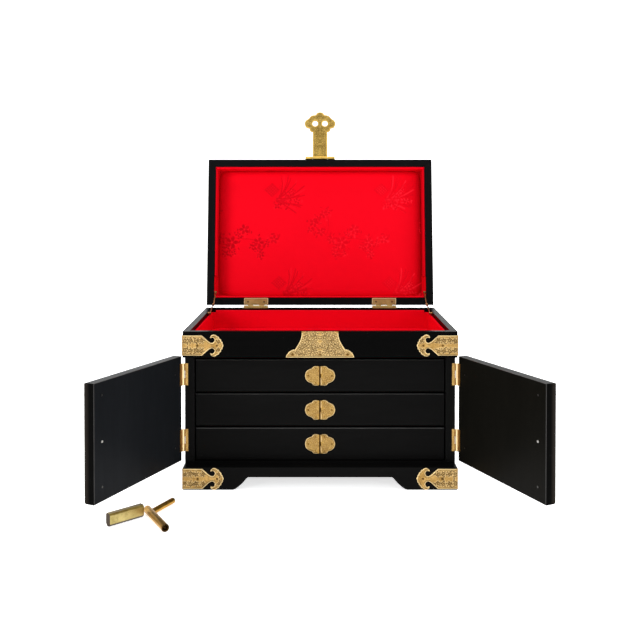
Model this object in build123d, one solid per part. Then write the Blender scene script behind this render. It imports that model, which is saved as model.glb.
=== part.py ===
from build123d import *
import math
import os

os.makedirs("parts", exist_ok=True)

# Lacquered wooden jewelry chest, all lengths in millimetres.
# X runs to the viewer's right, Y runs from the front to the back, Z is up.
# Every piece is drawn with the chest shut, then swung or turned to the rest
# pose: lid up against its stays, both doors open, hasp standing up.

# ---------------------------------------------------------------- driving sizes
W = 356.0            # outer width of the case
D = 231.0            # outer depth of the case
Z_BASE = 29.0        # top of the plinth
Z_SEC = 172.0        # underside of the upper section
Z_RIM = 206.0        # rim of the tray
WALL = 12.5          # carcass side boards
TRAY_WALL = 8.6      # walls of the upper section
LINE_T = 3.0         # fabric covered card lining
LINE_DROP = 6.0      # lining stops this far under the tray rim
BACK_DROP = 2.8      # except along the back, between the stays
BACK_X = 161.5       # half width of that taller stretch

DOOR_T = 17.0        # door thickness
DOOR_Y0 = 0.2        # outer face of a shut door
DOOR_TOP_GAP = 1.2   # gap over a door
DOOR_FOOT_GAP = 4.0  # gap between the plinth and a door
DOOR_R = 6.0         # rounding of the outer edges of a door
DOOR_OPEN = 114.0    # doors stand open this far at rest
Y_C = 18.8           # front edge of the carcass boards
PIV_X = 180.35       # door hinge line, each side of the middle
PIV_Y = 18.0
HINGE_Z = (146.5, 59.5)
HINGE_L = 29.0
BARREL_R = 2.1
PIN_R = 0.9

DR_H = 42.6          # drawer front height
DR_Z0 = (31.6, 76.9, 122.2)      # bottoms of the three drawer fronts
DR_Y = 23.2          # front face of a drawer front
DR_FT = 10.0         # drawer front thickness
DR_X = 164.6         # half width of a drawer front
DR_BX = 164.4        # half width of a drawer box
DR_BACK = D - 13.0
DR_WALL = 6.0
DUST_T = 2.4

LID_GAP = 1.6
Z_LID = Z_RIM + LID_GAP
LID_WALL = 11.4
LID_H = 30.0         # frame height
LID_TOP = 6.0        # top panel
LID_PY = D + 2.6     # lid hinge line
LID_PZ = Z_RIM + LID_GAP / 2
LID_OPEN = 97.0

HASP_Y = -3.4        # hasp hinge line with the lid shut
HASP_Z = Z_LID + 6.0
HASP_T = 2.6
HASP_R = 2.6
HASP_PIN = 1.2
HASP_TURN = 97.0     # strap is turned this far from hanging, leaning a little to the back
HOLE_S = 57.9        # hinge line to hole centres
HOLE_X = 7.9
HOLE_D = 9.0

PLATE_T = 0.8        # brass sheet

STAY_A = (165.05, 166.05)        # inner and outer faces of the lower links
STAY_B = (163.70, 164.70)        # upper links
STAY_R = 2.2
STAY_PIN = 1.1
STAY_LEN = 31.5
TRAY_PIV = (D - 48.0, Z_RIM - 2.4)
LID_PIV = (D - 20.0, Z_LID + 3.2)


# ---------------------------------------------------------------- helpers
def box(x0, x1, y0, y1, z0, z1):
    return Pos((x0 + x1) / 2, (y0 + y1) / 2, (z0 + z1) / 2) * Box(x1 - x0, y1 - y0, z1 - z0)


def cyl_x(x0, x1, y, z, r):
    return Pos((x0 + x1) / 2, y, z) * Rot(0, 90, 0) * Cylinder(r, x1 - x0)


def cyl_y(y0, y1, x, z, r):
    return Pos(x, (y0 + y1) / 2, z) * Rot(90, 0, 0) * Cylinder(r, y1 - y0)


def cyl_z(z0, z1, x, y, r):
    return Pos(x, y, (z0 + z1) / 2) * Cylinder(r, z1 - z0)


def ngon(points, plane):
    return make_face(plane * Polyline(*points, close=True))


def prism_xz(points, y0, y1):
    pl = Plane(origin=(0, y1, 0), x_dir=(1, 0, 0), z_dir=(0, -1, 0))
    return extrude(ngon(points, pl), y1 - y0, dir=(0, -1, 0))


def prism_yz(points, x0, x1):
    pl = Plane(origin=(x0, 0, 0), x_dir=(0, 1, 0), z_dir=(1, 0, 0))
    return extrude(ngon(points, pl), x1 - x0, dir=(1, 0, 0))


def prism_xy(points, z0, z1):
    pl = Plane(origin=(0, 0, z0), x_dir=(1, 0, 0), z_dir=(0, 0, 1))
    return extrude(ngon(points, pl), z1 - z0, dir=(0, 0, 1))


def smooth(pts, n=4):
    """Points of a Catmull-Rom curve through pts, ends included."""
    out = []
    m = len(pts)
    for i in range(m - 1):
        p0 = pts[i - 1] if i else pts[0]
        p1, p2 = pts[i], pts[i + 1]
        p3 = pts[i + 2] if i + 2 < m else pts[-1]
        for k in range(n):
            t = k / n
            out.append(tuple(
                0.5 * (2 * b + (c - a) * t + (2 * a - 5 * b + 4 * c - d) * t * t
                       + (3 * b - a - 3 * c + d) * t ** 3)
                for a, b, c, d in zip(p0, p1, p2, p3)))
    out.append(tuple(float(v) for v in pts[-1]))
    return out


def mirrored(half):
    """Close a half outline, given from the axis round to the axis, about x = 0."""
    back = [(-x, y) for x, y in reversed(half)]
    pts = list(half)
    for p in back:
        if abs(p[0] - pts[-1][0]) + abs(p[1] - pts[-1][1]) > 1e-6:
            pts.append(p)
    if abs(pts[0][0] - pts[-1][0]) + abs(pts[0][1] - pts[-1][1]) < 1e-6:
        pts.pop()
    return pts


def chain(*runs):
    pts = []
    for run in runs:
        for p in run:
            if not pts or abs(p[0] - pts[-1][0]) + abs(p[1] - pts[-1][1]) > 1e-6:
                pts.append(p)
    return pts


def flip_x(shape):
    return mirror(shape, about=Plane.YZ)


# ---------------------------------------------------------------- placing in the rest pose
LID_AXIS = Axis((0, LID_PY, LID_PZ), (1, 0, 0))
HASP_AXIS = Axis((0, HASP_Y, HASP_Z), (1, 0, 0))


def lid_up(shape):
    return shape.rotate(LID_AXIS, -LID_OPEN)


def hasp_up(shape):
    return lid_up(shape.rotate(HASP_AXIS, -HASP_TURN))


def door_out(shape, side):
    axis = Axis((side * PIV_X, PIV_Y, 0), (0, 0, 1))
    return shape.rotate(axis, side * DOOR_OPEN)


def turn_yz(p, centre, deg):
    a = math.radians(deg)
    y, z = p[0] - centre[0], p[1] - centre[1]
    return (centre[0] + y * math.cos(a) - z * math.sin(a),
            centre[1] + y * math.sin(a) + z * math.cos(a))


def mitred(t, z0, z1):
    """Four boards of a mitred frame of the case's outline."""
    a, b = W / 2, W / 2 - t
    return {
        "front": prism_xy([(-a, 0), (a, 0), (b, t), (-b, t)], z0, z1),
        "back": prism_xy([(-a, D), (-b, D - t), (b, D - t), (a, D)], z0, z1),
        "left": prism_xy([(-a, 0), (-b, t), (-b, D - t), (-a, D)], z0, z1),
        "right": prism_xy([(a, 0), (a, D), (b, D - t), (b, t)], z0, z1),
    }


PARTS = {}


def keep(name, *solids):
    solids = [s for s in solids]
    PARTS[name] = solids


# ---------------------------------------------------------------- plinth
FOOT = 113.5                     # arch half width at the floor
ARCH = smooth([(92.0, 16.3), (94.8, 15.4), (100.0, 9.4), (105.2, 4.6), (110.0, 1.2), (113.5, 0.0)], 3)


def arch_cut(scale):
    half = [(x * scale, z) for x, z in ARCH]
    pts = half + [(x, -5.0) for x in (half[-1][0], -half[-1][0])] + [(-x, z) for x, z in reversed(half)]
    return pts


PLINTH_T = 14.0
PL_BOARDS = []
for name, board in mitred(PLINTH_T, 0.0, Z_BASE).items():
    if name in ("front", "back"):
        y = 0 if name == "front" else D - PLINTH_T
        board -= prism_xz(arch_cut(1.0), y - 1, y + PLINTH_T + 1)
    else:
        x = -W / 2 if name == "left" else W / 2 - PLINTH_T
        side_arch = [(v + D / 2, z) for v, z in arch_cut(0.52)]
        board -= prism_yz(side_arch, x - 1, x + PLINTH_T + 1)
    PL_BOARDS.append(board)
keep("plinth_boards", *PL_BOARDS)

# ---------------------------------------------------------------- carcass
IN_X = W / 2 - WALL
keep("carcass_floor_board", box(-W / 2 + PLINTH_T, W / 2 - PLINTH_T, PLINTH_T, D - PLINTH_T, Z_BASE - 6.0, Z_BASE)
     + box(-IN_X, IN_X, Y_C, D - 8, Z_BASE, Z_BASE + 2.0))
keep("carcass_left_side", box(-W / 2, -IN_X, Y_C, D, Z_BASE, Z_SEC))
keep("carcass_right_side", box(IN_X, W / 2, Y_C, D, Z_BASE, Z_SEC))
keep("carcass_back_panel", box(-IN_X, IN_X, D - 8, D, Z_BASE, Z_SEC))
keep("dust_boards", *[box(-IN_X, IN_X, DR_Y + DR_FT + 1.2, D - 8, z0 - 0.5 - DUST_T, z0 - 0.5) for z0 in DR_Z0[1:]])

# ---------------------------------------------------------------- upper section
for name, board in mitred(TRAY_WALL, Z_SEC, Z_RIM).items():
    keep("tray_%s_wall" % name, board)
TX = W / 2 - TRAY_WALL
TY0, TY1 = TRAY_WALL, D - TRAY_WALL
TRAY_FLOOR = Z_SEC + 2.4
keep("tray_floor_board", box(-TX, TX, TY0, TY1, Z_SEC, TRAY_FLOOR))
lining = box(-TX, TX, TY0, TY1, TRAY_FLOOR, Z_RIM - LINE_DROP)
lining -= box(-TX + LINE_T, TX - LINE_T, TY0 + LINE_T, TY1 - LINE_T, TRAY_FLOOR + 1.4, Z_RIM)
lining += box(-BACK_X, BACK_X, TY1 - LINE_T, TY1, Z_RIM - LINE_DROP - 1.0, Z_RIM - BACK_DROP)
keep("tray_lining", lining)

# ---------------------------------------------------------------- brass corner plates
HALF = chain(
    [(0.0, 13.1), (25.0, 13.1)],
    smooth([(25.0, 13.1), (29.2, 9.5), (33.0, 6.0), (36.0, 4.0), (38.2, 3.55), (40.3, 4.5), (41.4, 6.9),
            (40.8, 9.0), (39.2, 10.2), (37.5, 10.1), (36.3, 9.5)], 3),
    smooth([(36.3, 9.5), (35.8, 10.6), (36.6, 12.5), (38.6, 13.9), (41.0, 14.2), (43.3, 13.4), (44.4, 12.3)], 3),
    smooth([(44.4, 12.3), (46.4, 11.6), (47.5, 10.2), (47.7, 9.1)], 3),
    smooth([(47.7, 9.1), (49.4, 8.2), (50.0, 6.7), (49.9, 5.7)], 3),
    smooth([(49.9, 5.7), (51.5, 4.6), (51.9, 3.0), (51.7, 2.2)], 3),
    smooth([(51.7, 2.2), (52.5, 1.3), (52.9, 0.0)], 2),
)
OUTLINE = HALF + [(x, -z) for x, z in reversed(HALF) if abs(z) > 1e-6]


def corner_plate(zc):
    pts = [(x - W / 2 - (PLATE_T if x == 0 else 0), z + zc) for x, z in OUTLINE]
    front = prism_xz(pts, -PLATE_T, 0)
    pts = [(y - (PLATE_T if y == 0 else 0), z + zc) for y, z in OUTLINE]
    side = prism_yz(pts, -W / 2 - PLATE_T, -W / 2)
    return front + side


Z_UP = 187.8
Z_LOW = 14.4
upper = corner_plate(Z_UP)
lower = corner_plate(Z_LOW)
keep("corner_plate_upper_left", upper)
keep("corner_plate_upper_right", flip_x(upper))
keep("corner_plate_lower_left", lower)
keep("corner_plate_lower_right", flip_x(lower))

# ---------------------------------------------------------------- bell shaped lock plate
BELL = chain(
    smooth([(23.8, 206.0), (23.9, 201.8), (24.8, 196.8), (27.4, 191.0), (30.1, 186.4), (32.4, 182.9)], 4),
    smooth([(32.4, 182.9), (36.6, 182.0), (40.4, 179.4), (43.2, 176.0), (44.3, 172.3)], 4),
)
keep("front_lock_plate", prism_xz(mirrored([(0.0, 206.0)] + BELL + [(0.0, 172.3)]), -PLATE_T, 0))

# ---------------------------------------------------------------- nails of the fixed plates
nails = []
for sx in (-1, 1):
    for zc in (Z_UP, Z_LOW):
        for u, r in ((19.2, 1.1), (44.4, 0.9)):
            x = sx * (W / 2 - u)
            nails.append(cyl_y(-PLATE_T - 0.5, -PLATE_T, x, zc, r))
            nails.append(cyl_x(-0.25, 0.25, u, zc, r).moved(Location((sx * (W / 2 + PLATE_T + 0.25), 0, 0))))
    nails.append(cyl_y(-PLATE_T - 0.5, -PLATE_T, sx * 35.6, 176.4, 1.0))
nails.append(cyl_y(-PLATE_T - 0.5, -PLATE_T, 0, 176.0, 0.8))
keep("plate_nails", *nails)


# ---------------------------------------------------------------- drawers
PULL_HALF = chain(
    [(0.9, 12.2)],
    smooth([(0.9, 12.2), (3.9, 12.9), (7.2, 13.1), (9.3, 12.0), (10.6, 10.2)], 4),
    smooth([(10.6, 10.2), (13.4, 9.2), (16.6, 7.5), (19.0, 4.6), (20.2, 0.0)], 4),
)
PULL = PULL_HALF + [(x, -z) for x, z in reversed(PULL_HALF) if abs(z) > 1e-6]


def pull(zc):
    y1 = DR_Y
    left = [(-max(x, 0.9) + 0.0, z) for x, z in PULL]
    left = [(min(x, -0.55) if abs(x + 0.9) < 1e-6 else x, z + zc) for x, z in left]
    right = [((0.15 if abs(x - 0.9) < 1e-6 else x), z + zc) for x, z in PULL]
    a = prism_xz(left, y1 - 1.0, y1)
    b = prism_xz(right, y1 - 1.0, y1)
    rib = box(0.15, 1.35, y1 - 3.4, y1 - 0.9, zc - 11.6, zc + 11.6)
    rib += cyl_z(zc - 11.6, zc + 11.6, 1.75, y1 - 3.0, 1.0)
    rib -= box(-0.5, 2.2, y1 - 5, y1 - 2.0, zc - 2.4, zc + 2.4)
    return [a, b + rib, cyl_y(y1 - 1.5, y1 - 1.0, -14.8, zc, 0.9), cyl_y(y1 - 1.5, y1 - 1.0, 14.8, zc, 0.9)]


for name, z0 in zip(("bottom", "middle", "top"), DR_Z0):
    front = box(-DR_X, DR_X, DR_Y, DR_Y + DR_FT, z0, z0 + DR_H)
    front = chamfer(front.edges().group_by(Axis.Y)[0], 0.7)
    keep("drawer_%s_front" % name, front)
    b0, b1 = z0 + 0.2, z0 + 38.0
    ya = DR_Y + DR_FT
    dbox = box(-DR_BX, DR_BX, ya, DR_BACK, b0, b1)
    dbox -= box(-DR_BX + DR_WALL, DR_BX - DR_WALL, ya + DR_WALL, DR_BACK - DR_WALL, b0 + 4, b1 + 1)
    keep("drawer_%s_box" % name, dbox)
    ix = DR_BX - DR_WALL
    lin = box(-ix, ix, ya + DR_WALL, DR_BACK - DR_WALL, b0 + 4, b1 - 3)
    lin -= box(-ix + 1.5, ix - 1.5, ya + DR_WALL + 1.5, DR_BACK - DR_WALL - 1.5, b0 + 5.5, b1)
    keep("drawer_%s_lining" % name, lin)
    keep("drawer_%s_pull" % name, *pull(z0 + DR_H / 2 + 0.2))


# ---------------------------------------------------------------- doors
DZ0, DZ1 = Z_BASE + DOOR_FOOT_GAP, Z_SEC - DOOR_TOP_GAP
EYE_Z = HASP_Z - HOLE_S
EYE_X = HOLE_X
MOON_R = 61.0                    # half round plates of the two doors
MOON_X = 7.2                     # their straight side, clear of the door's rounded edge
MOON = [(MOON_X, math.sqrt(MOON_R ** 2 - MOON_X ** 2))]
MOON += [(MOON_R * math.sin(math.radians(k)), MOON_R * math.cos(math.radians(k))) for k in range(10, 88, 4)] + [(MOON_R, 0.0)]
EYE_Y = -1.3                     # pin line of a folding eye
EYE_T = 0.9


def door(side):
    """Left door for side -1, right door for side +1, drawn shut."""
    panel = box(-W / 2, -0.6, DOOR_Y0, DOOR_Y0 + DOOR_T, DZ0, DZ1)
    panel = fillet(panel.faces().sort_by(Axis.Y)[0].edges(), DOOR_R)
    panel = fillet(panel.faces().sort_by(Axis.Y)[-1].edges(), 0.7)
    zm = (DZ0 + DZ1) / 2
    pts = [(-x, z + zm) for x, z in MOON] + [(-x, zm - z) for x, z in reversed(MOON) if abs(z) > 1e-6]
    plate = prism_xz(pts, DOOR_Y0 - PLATE_T, DOOR_Y0)
    plate += cyl_z(EYE_Z - 2.2, EYE_Z + 2.2, -EYE_X, EYE_Y, 1.1)
    plate += box(-EYE_X - 0.8, -EYE_X + 0.8, EYE_Y, DOOR_Y0 - 0.4, EYE_Z - 2.2, EYE_Z + 2.2)
    plate -= cyl_z(EYE_Z - 6, EYE_Z + 6, -EYE_X, EYE_Y, 0.5)
    y0, y1 = EYE_Y - EYE_T / 2, EYE_Y + EYE_T / 2
    eye = box(-EYE_X - 7.4, -EYE_X + 0.45, y0, y1, EYE_Z - 3.9, EYE_Z + 3.9)
    eye += cyl_y(y0, y1, -EYE_X - 7.4, EYE_Z, 3.9)
    eye -= box(-EYE_X - 7.4, -EYE_X + 1.0, y0 - 1, y1 + 1, EYE_Z - 2.85, EYE_Z + 2.85)
    eye -= cyl_y(y0 - 1, y1 + 1, -EYE_X - 7.4, EYE_Z, 2.85)
    eye += cyl_z(EYE_Z - 3.9, EYE_Z + 3.9, -EYE_X, EYE_Y, 0.45)
    rivets = []
    inner = DOOR_Y0 + DOOR_T
    for u, z, r in ((14.6, DZ1 - 15.8, 1.3), (14.6, zm, 1.5), (14.6, DZ0 + 16.8, 1.3),
                    (W / 2 - 15.0, DZ1 - 22.0, 1.1), (W / 2 - 15.0, DZ0 + 20.5, 1.1)):
        head = cyl_y(inner, inner + 0.4, -u, z, r)
        rivets.append(head)
    for z in (DZ1 - 15.8 - 9.0, zm, DZ0 + 16.8):
        rivets.append(cyl_y(DOOR_Y0 - PLATE_T - 0.5, DOOR_Y0 - PLATE_T, -14.6, z, 1.1))
    leaves = []
    for hz in HINGE_Z:
        leaf = box(-W / 2, -W / 2 + 4.2, inner, inner + 0.6, hz - HINGE_L / 2, hz + HINGE_L / 2)
        a, b = hz - HINGE_L / 6 + 0.15, hz + HINGE_L / 6 - 0.15
        leaf += box(-PIV_X, -W / 2 + 0.1, inner, inner + 0.6, a, b)
        leaf += cyl_z(a, b, -PIV_X, PIV_Y, BARREL_R)
        leaf -= cyl_z(hz - HINGE_L, hz + HINGE_L, -PIV_X, PIV_Y, PIN_R + 0.05)
        for za, zb in ((hz - HINGE_L / 2 - 0.1, a - 0.0), (b + 0.0, hz + HINGE_L / 2 + 0.1)):
            leaf -= box(-PIV_X - 4, -W / 2 + 0.35, inner - 1, inner + 2, za, zb)
        leaves.append(leaf)
    name = "left" if side < 0 else "right"
    pieces = {
        "%s_door_panel": [panel],
        "%s_door_lock_plate": [plate],
        "%s_door_eye": [eye],
        "%s_door_rivets": rivets,
        "%s_door_hinge_door_leaves": leaves,
    }
    for key, solids in pieces.items():
        if side > 0:
            solids = [flip_x(s) for s in solids]
        keep(key % name, *[door_out(s, side) for s in solids])
    case_leaves, pins = [], []
    for hz in HINGE_Z:
        leaf = box(-W / 2 + 0.35, -W / 2 + 4.2, Y_C - 0.6, Y_C, hz - HINGE_L / 2, hz + HINGE_L / 2)
        for a, b in ((hz - HINGE_L / 2, hz - HINGE_L / 6 - 0.15), (hz + HINGE_L / 6 + 0.15, hz + HINGE_L / 2)):
            leaf += box(-PIV_X, -W / 2 + 0.5, Y_C - 0.6, Y_C, a, b)
            leaf += cyl_z(a, b, -PIV_X, PIV_Y, BARREL_R)
        leaf -= cyl_z(hz - HINGE_L, hz + HINGE_L, -PIV_X, PIV_Y, PIN_R)
        case_leaves.append(leaf)
        pins.append(cyl_z(hz - HINGE_L / 2, hz + HINGE_L / 2, -PIV_X, PIV_Y, PIN_R))
    if side > 0:
        case_leaves = [flip_x(s) for s in case_leaves]
        pins = [flip_x(s) for s in pins]
    return case_leaves, pins


left_hw, right_hw = door(-1), door(1)
keep("door_hinge_case_leaves", *left_hw[0], *right_hw[0])
door_pins = left_hw[1] + right_hw[1]

# ---------------------------------------------------------------- lid
boards = {name: lid_up(board) for name, board in mitred(LID_WALL, Z_LID, Z_LID + LID_H).items()}
keep("lid_front_wall", boards["front"])
keep("lid_back_wall", boards["back"])
keep("lid_side_walls", boards["left"], boards["right"])
panel = box(-W / 2, W / 2, 0, D, Z_LID + LID_H, Z_LID + LID_H + LID_TOP)
panel = fillet(panel.faces().sort_by(Axis.Z)[-1].edges(), 3.0)
keep("lid_top_panel", lid_up(panel))
LX = W / 2 - LID_WALL
ll = box(-LX, LX, LID_WALL, D - LID_WALL, Z_LID + 1.2, Z_LID + LID_H)
ll -= box(-LX + LINE_T, LX - LINE_T, LID_WALL + LINE_T, D - LID_WALL - LINE_T, Z_LID, Z_LID + LID_H - 3.0)
for sx in (-1, 1):
    ll -= box(min(sx * (LX - LINE_T), sx * (LX + 1)), max(sx * (LX - LINE_T), sx * (LX + 1)),
              D - LID_WALL - 34.0, D - LID_WALL + 1, Z_LID, Z_LID + LID_H - 3.0)
keep("lid_lining", lid_up(ll))

# lid hinges
LH_X = 100.4         # centres of the two lid hinges
LH_L = 37.6
LH_R = 2.2
LH_PIN = 1.0
cuts = [-LH_L / 2, -LH_L / 2 + 5.8, -LH_L / 2 + 14.4, LH_L / 2 - 14.4, LH_L / 2 - 5.8, LH_L / 2]
tray_leaves, lid_leaves, lid_pins = [], [], []
for sx in (-1, 1):
    xc = sx * LH_X
    t = box(xc - LH_L / 2, xc + LH_L / 2, D - 8.2, D - 0.3, Z_RIM, Z_RIM + 0.6)
    l = box(xc - LH_L / 2, xc + LH_L / 2, D - 11.0, D - 0.3, Z_LID - 0.6, Z_LID)
    for k in range(5):
        a, b = xc + cuts[k] + (0.15 if k else 0), xc + cuts[k + 1] - (0.15 if k < 4 else 0)
        barrel = cyl_x(a, b, LID_PY, LID_PZ, LH_R)
        if k % 2 == 0:
            t += box(a, b, D - 0.5, LID_PY, Z_RIM, Z_RIM + 0.6) + barrel
        else:
            l += box(a, b, D - 0.5, LID_PY, Z_LID - 0.6, Z_LID) + barrel
    t -= cyl_x(xc - 30, xc + 30, LID_PY, LID_PZ, LH_PIN)
    l -= cyl_x(xc - 30, xc + 30, LID_PY, LID_PZ, LH_PIN + 0.05)
    tray_leaves.append(t)
    lid_leaves.append(lid_up(l))
    lid_pins.append(cyl_x(xc - LH_L / 2, xc + LH_L / 2, LID_PY, LID_PZ, LH_PIN))
keep("lid_hinge_tray_leaves", *tray_leaves)
keep("lid_hinge_lid_leaves", *lid_leaves)
keep("hinge_pins", *lid_pins, *door_pins)

# ---------------------------------------------------------------- hasp
HASP = chain(
    [(0.0, 0.0), (11.7, 0.0), (11.7, 43.6)],
    smooth([(11.7, 43.6), (13.4, 43.7), (15.6, 45.0), (16.9, 47.4), (16.6, 49.6)], 3),
    smooth([(16.6, 49.6), (19.4, 49.9), (22.6, 51.6), (24.4, 55.0), (24.8, 58.8), (22.8, 63.2), (17.9, 66.6)], 4),
    smooth([(17.9, 66.6), (16.4, 69.2), (13.2, 71.6), (9.4, 72.4), (7.0, 72.4)], 3),
    smooth([(7.0, 72.4), (5.4, 75.4), (2.6, 77.0), (0.0, 77.5)], 3),
)
strap = prism_xz(mirrored([(x, HASP_Z - s) for x, s in HASP]), HASP_Y - HASP_T / 2, HASP_Y + HASP_T / 2)
strap += cyl_x(-11.7, 11.7, HASP_Y, HASP_Z, HASP_R)
strap -= cyl_x(-30, 30, HASP_Y, HASP_Z, HASP_PIN + 0.05)
for sx in (-1, 1):
    strap -= cyl_y(HASP_Y - 5, HASP_Y + 5, sx * HOLE_X, HASP_Z - HOLE_S, HOLE_D / 2)
keep("hasp_strap", hasp_up(strap))
hb = box(-23.4, 23.4, -1.0, 0, HASP_Z + 3.4, HASP_Z + 21.0)
hb = fillet(hb.edges().filter_by(Axis.Y).group_by(Axis.Z)[-1], 7.0)
for sx in (-1, 1):
    x0, x1 = sorted((sx * 12.05, sx * 23.4))
    hb += box(x0, x1, -1.0, 0, HASP_Z - 0.6, HASP_Z + 3.6)
    hb += box(x0, x1, HASP_Y, -0.5, HASP_Z - 0.6, HASP_Z + 0.6)
    hb += cyl_x(x0, x1, HASP_Y, HASP_Z, HASP_R)
hb -= cyl_x(-30, 30, HASP_Y, HASP_Z, HASP_PIN)
keep("hasp_base_plate", lid_up(hb))
keep("hasp_pin", lid_up(cyl_x(-23.4, 23.4, HASP_Y, HASP_Z, HASP_PIN)))

# ---------------------------------------------------------------- lid stays
P_T = TRAY_PIV
P_L_SHUT = LID_PIV
P_L_OPEN = turn_yz(LID_PIV, (LID_PY, LID_PZ), -LID_OPEN)


def elbow(a, b):
    """Joint of two equal links that hang below the line from a to b."""
    dy, dz = b[0] - a[0], b[1] - a[1]
    d = math.hypot(dy, dz)
    h = math.sqrt(max(STAY_LEN ** 2 - d * d / 4, 0.0))
    return ((a[0] + b[0]) / 2 + h * dz / d, (a[1] + b[1]) / 2 - h * dy / d)


E_OPEN = elbow(P_T, P_L_OPEN)
E_SHUT = elbow(P_T, P_L_SHUT)


def link(a, b, x0, x1):
    dy, dz = b[0] - a[0], b[1] - a[1]
    d = math.hypot(dy, dz)
    ny, nz = -dz / d * 1.7, dy / d * 1.7
    body = prism_yz([(a[0] + ny, a[1] + nz), (b[0] + ny, b[1] + nz), (b[0] - ny, b[1] - nz),
                     (a[0] - ny, a[1] - nz)], x0, x1)
    body += cyl_x(x0, x1, a[0], a[1], STAY_R) + cyl_x(x0, x1, b[0], b[1], STAY_R)
    return body


for side, name in ((-1, "left"), (1, "right")):
    lower_link = link(P_T, E_OPEN, STAY_A[0], STAY_A[1])
    lower_link -= cyl_x(150, 180, P_T[0], P_T[1], STAY_PIN + 0.05)
    upper_link = link(E_OPEN, P_L_OPEN, STAY_B[0], STAY_B[1])
    upper_link -= cyl_x(150, 180, P_L_OPEN[0], P_L_OPEN[1], STAY_PIN + 0.05)
    upper_link += cyl_x(STAY_B[0] - 0.6, STAY_B[0], E_OPEN[0], E_OPEN[1], 1.7)
    if side < 0:
        lower_link, upper_link = flip_x(lower_link), flip_x(upper_link)
    keep("%s_stay_lower_link" % name, lower_link)
    keep("%s_stay_upper_link" % name, upper_link)
tray_studs, lid_studs = [], []
for side in (-1, 1):
    a = cyl_x(STAY_A[0] - 0.15, TX, P_T[0], P_T[1], STAY_PIN)
    a += cyl_x(STAY_A[1] + 0.3, TX, P_T[0], P_T[1], 1.8)
    a += cyl_x(STAY_A[0] - 0.65, STAY_A[0] - 0.15, P_T[0], P_T[1], 1.6)
    b = cyl_x(STAY_B[0] - 0.3, LX, P_L_OPEN[0], P_L_OPEN[1], STAY_PIN)
    b += cyl_x(STAY_B[1] + 0.3, LX, P_L_OPEN[0], P_L_OPEN[1], 1.8)
    b += cyl_x(STAY_B[0] - 1.0, STAY_B[0] - 0.3, P_L_OPEN[0], P_L_OPEN[1], 1.7)
    if side < 0:
        a, b = flip_x(a), flip_x(b)
    tray_studs.append(a)
    lid_studs.append(b)
keep("stay_tray_pivots", *tray_studs)
keep("stay_lid_pivots", *lid_studs)

# ---------------------------------------------------------------- padlock, lying on the floor
PL_AT = (-245.1, -121.2)        # left end of the block
PL_DEG = 43.0
PL_L, PL_H, PL_W = 45.0, 15.0, 9.4
block = box(0, PL_L, -PL_W / 2, PL_W / 2, 0, PL_H)
block = chamfer(block.edges().filter_by(Axis.X).group_by(Axis.Z)[-1], 1.9)
block = chamfer(block.edges().filter_by(Axis.X).group_by(Axis.Z)[0], 2.9)
block -= cyl_x(PL_L - 14, PL_L + 1, 0, PL_H / 2, 3.2)
BOLT_R = 4.6
BOLT_AT = (-208.0, -80.2)        # far end of the barrel
BOLT_DEG = -60.8
BOLT_L = 66.0
ROD_L = 45.0
barrel = cyl_x(0, BOLT_L, 0, BOLT_R, BOLT_R)
barrel -= cyl_x(BOLT_L - 30, BOLT_L + 1, 0, BOLT_R, 3.2)
barrel += cyl_x(BOLT_L - 31, BOLT_L - 1.5, 0, BOLT_R, 1.1)
barrel += cyl_x(-3.6, 1.0, 0, BOLT_R, 1.9)
ROD_X = 13.0
rod = cyl_y(2.0, ROD_L, ROD_X, BOLT_R, 3.6)
rod -= box(ROD_X - 0.5, ROD_X + 0.5, 15, ROD_L + 1, BOLT_R, 12)
rod = rod.rotate(Axis((ROD_X, 0, 0), (0, 0, 1)), 35.2)
bolt = barrel + rod


def lay(shape, at, deg):
    return shape.rotate(Axis.Z, deg).moved(Location((at[0], at[1], 0)))


keep("padlock_body", lay(block, PL_AT, PL_DEG))
keep("padlock_bolt", lay(bolt, BOLT_AT, BOLT_DEG))

# ---------------------------------------------------------------- origin: middle of the underside of the whole box
lo = [1e9] * 3
hi = [-1e9] * 3
for solids in PARTS.values():
    for s in solids:
        bb = s.bounding_box()
        for i, (a, b) in enumerate(((bb.min.X, bb.max.X), (bb.min.Y, bb.max.Y), (bb.min.Z, bb.max.Z))):
            lo[i] = min(lo[i], a)
            hi[i] = max(hi[i], b)
SHIFT = (-(lo[0] + hi[0]) / 2, -(lo[1] + hi[1]) / 2, -lo[2])

if __name__ == "__main__":
    for name, solids in PARTS.items():
        placed = [s.moved(Location(SHIFT)) for s in solids]
        flat = []
        for s in placed:
            flat.extend(s.solids())
        shape = flat[0] if len(flat) == 1 else Compound(children=flat)
        export_step(shape, "parts/%s.step" % name)
    print("nodes", len(PARTS))
    print("shift", [round(v, 4) for v in SHIFT])
    print("box", [round(hi[i] - lo[i], 3) for i in range(3)])
    print("lid pivot open", P_L_OPEN, "elbow open", E_OPEN, "elbow shut", E_SHUT)
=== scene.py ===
import math
import random

import bmesh
import bpy
import numpy as np
from mathutils import Matrix, Vector
from mathutils.geometry import delaunay_2d_cdt


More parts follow.
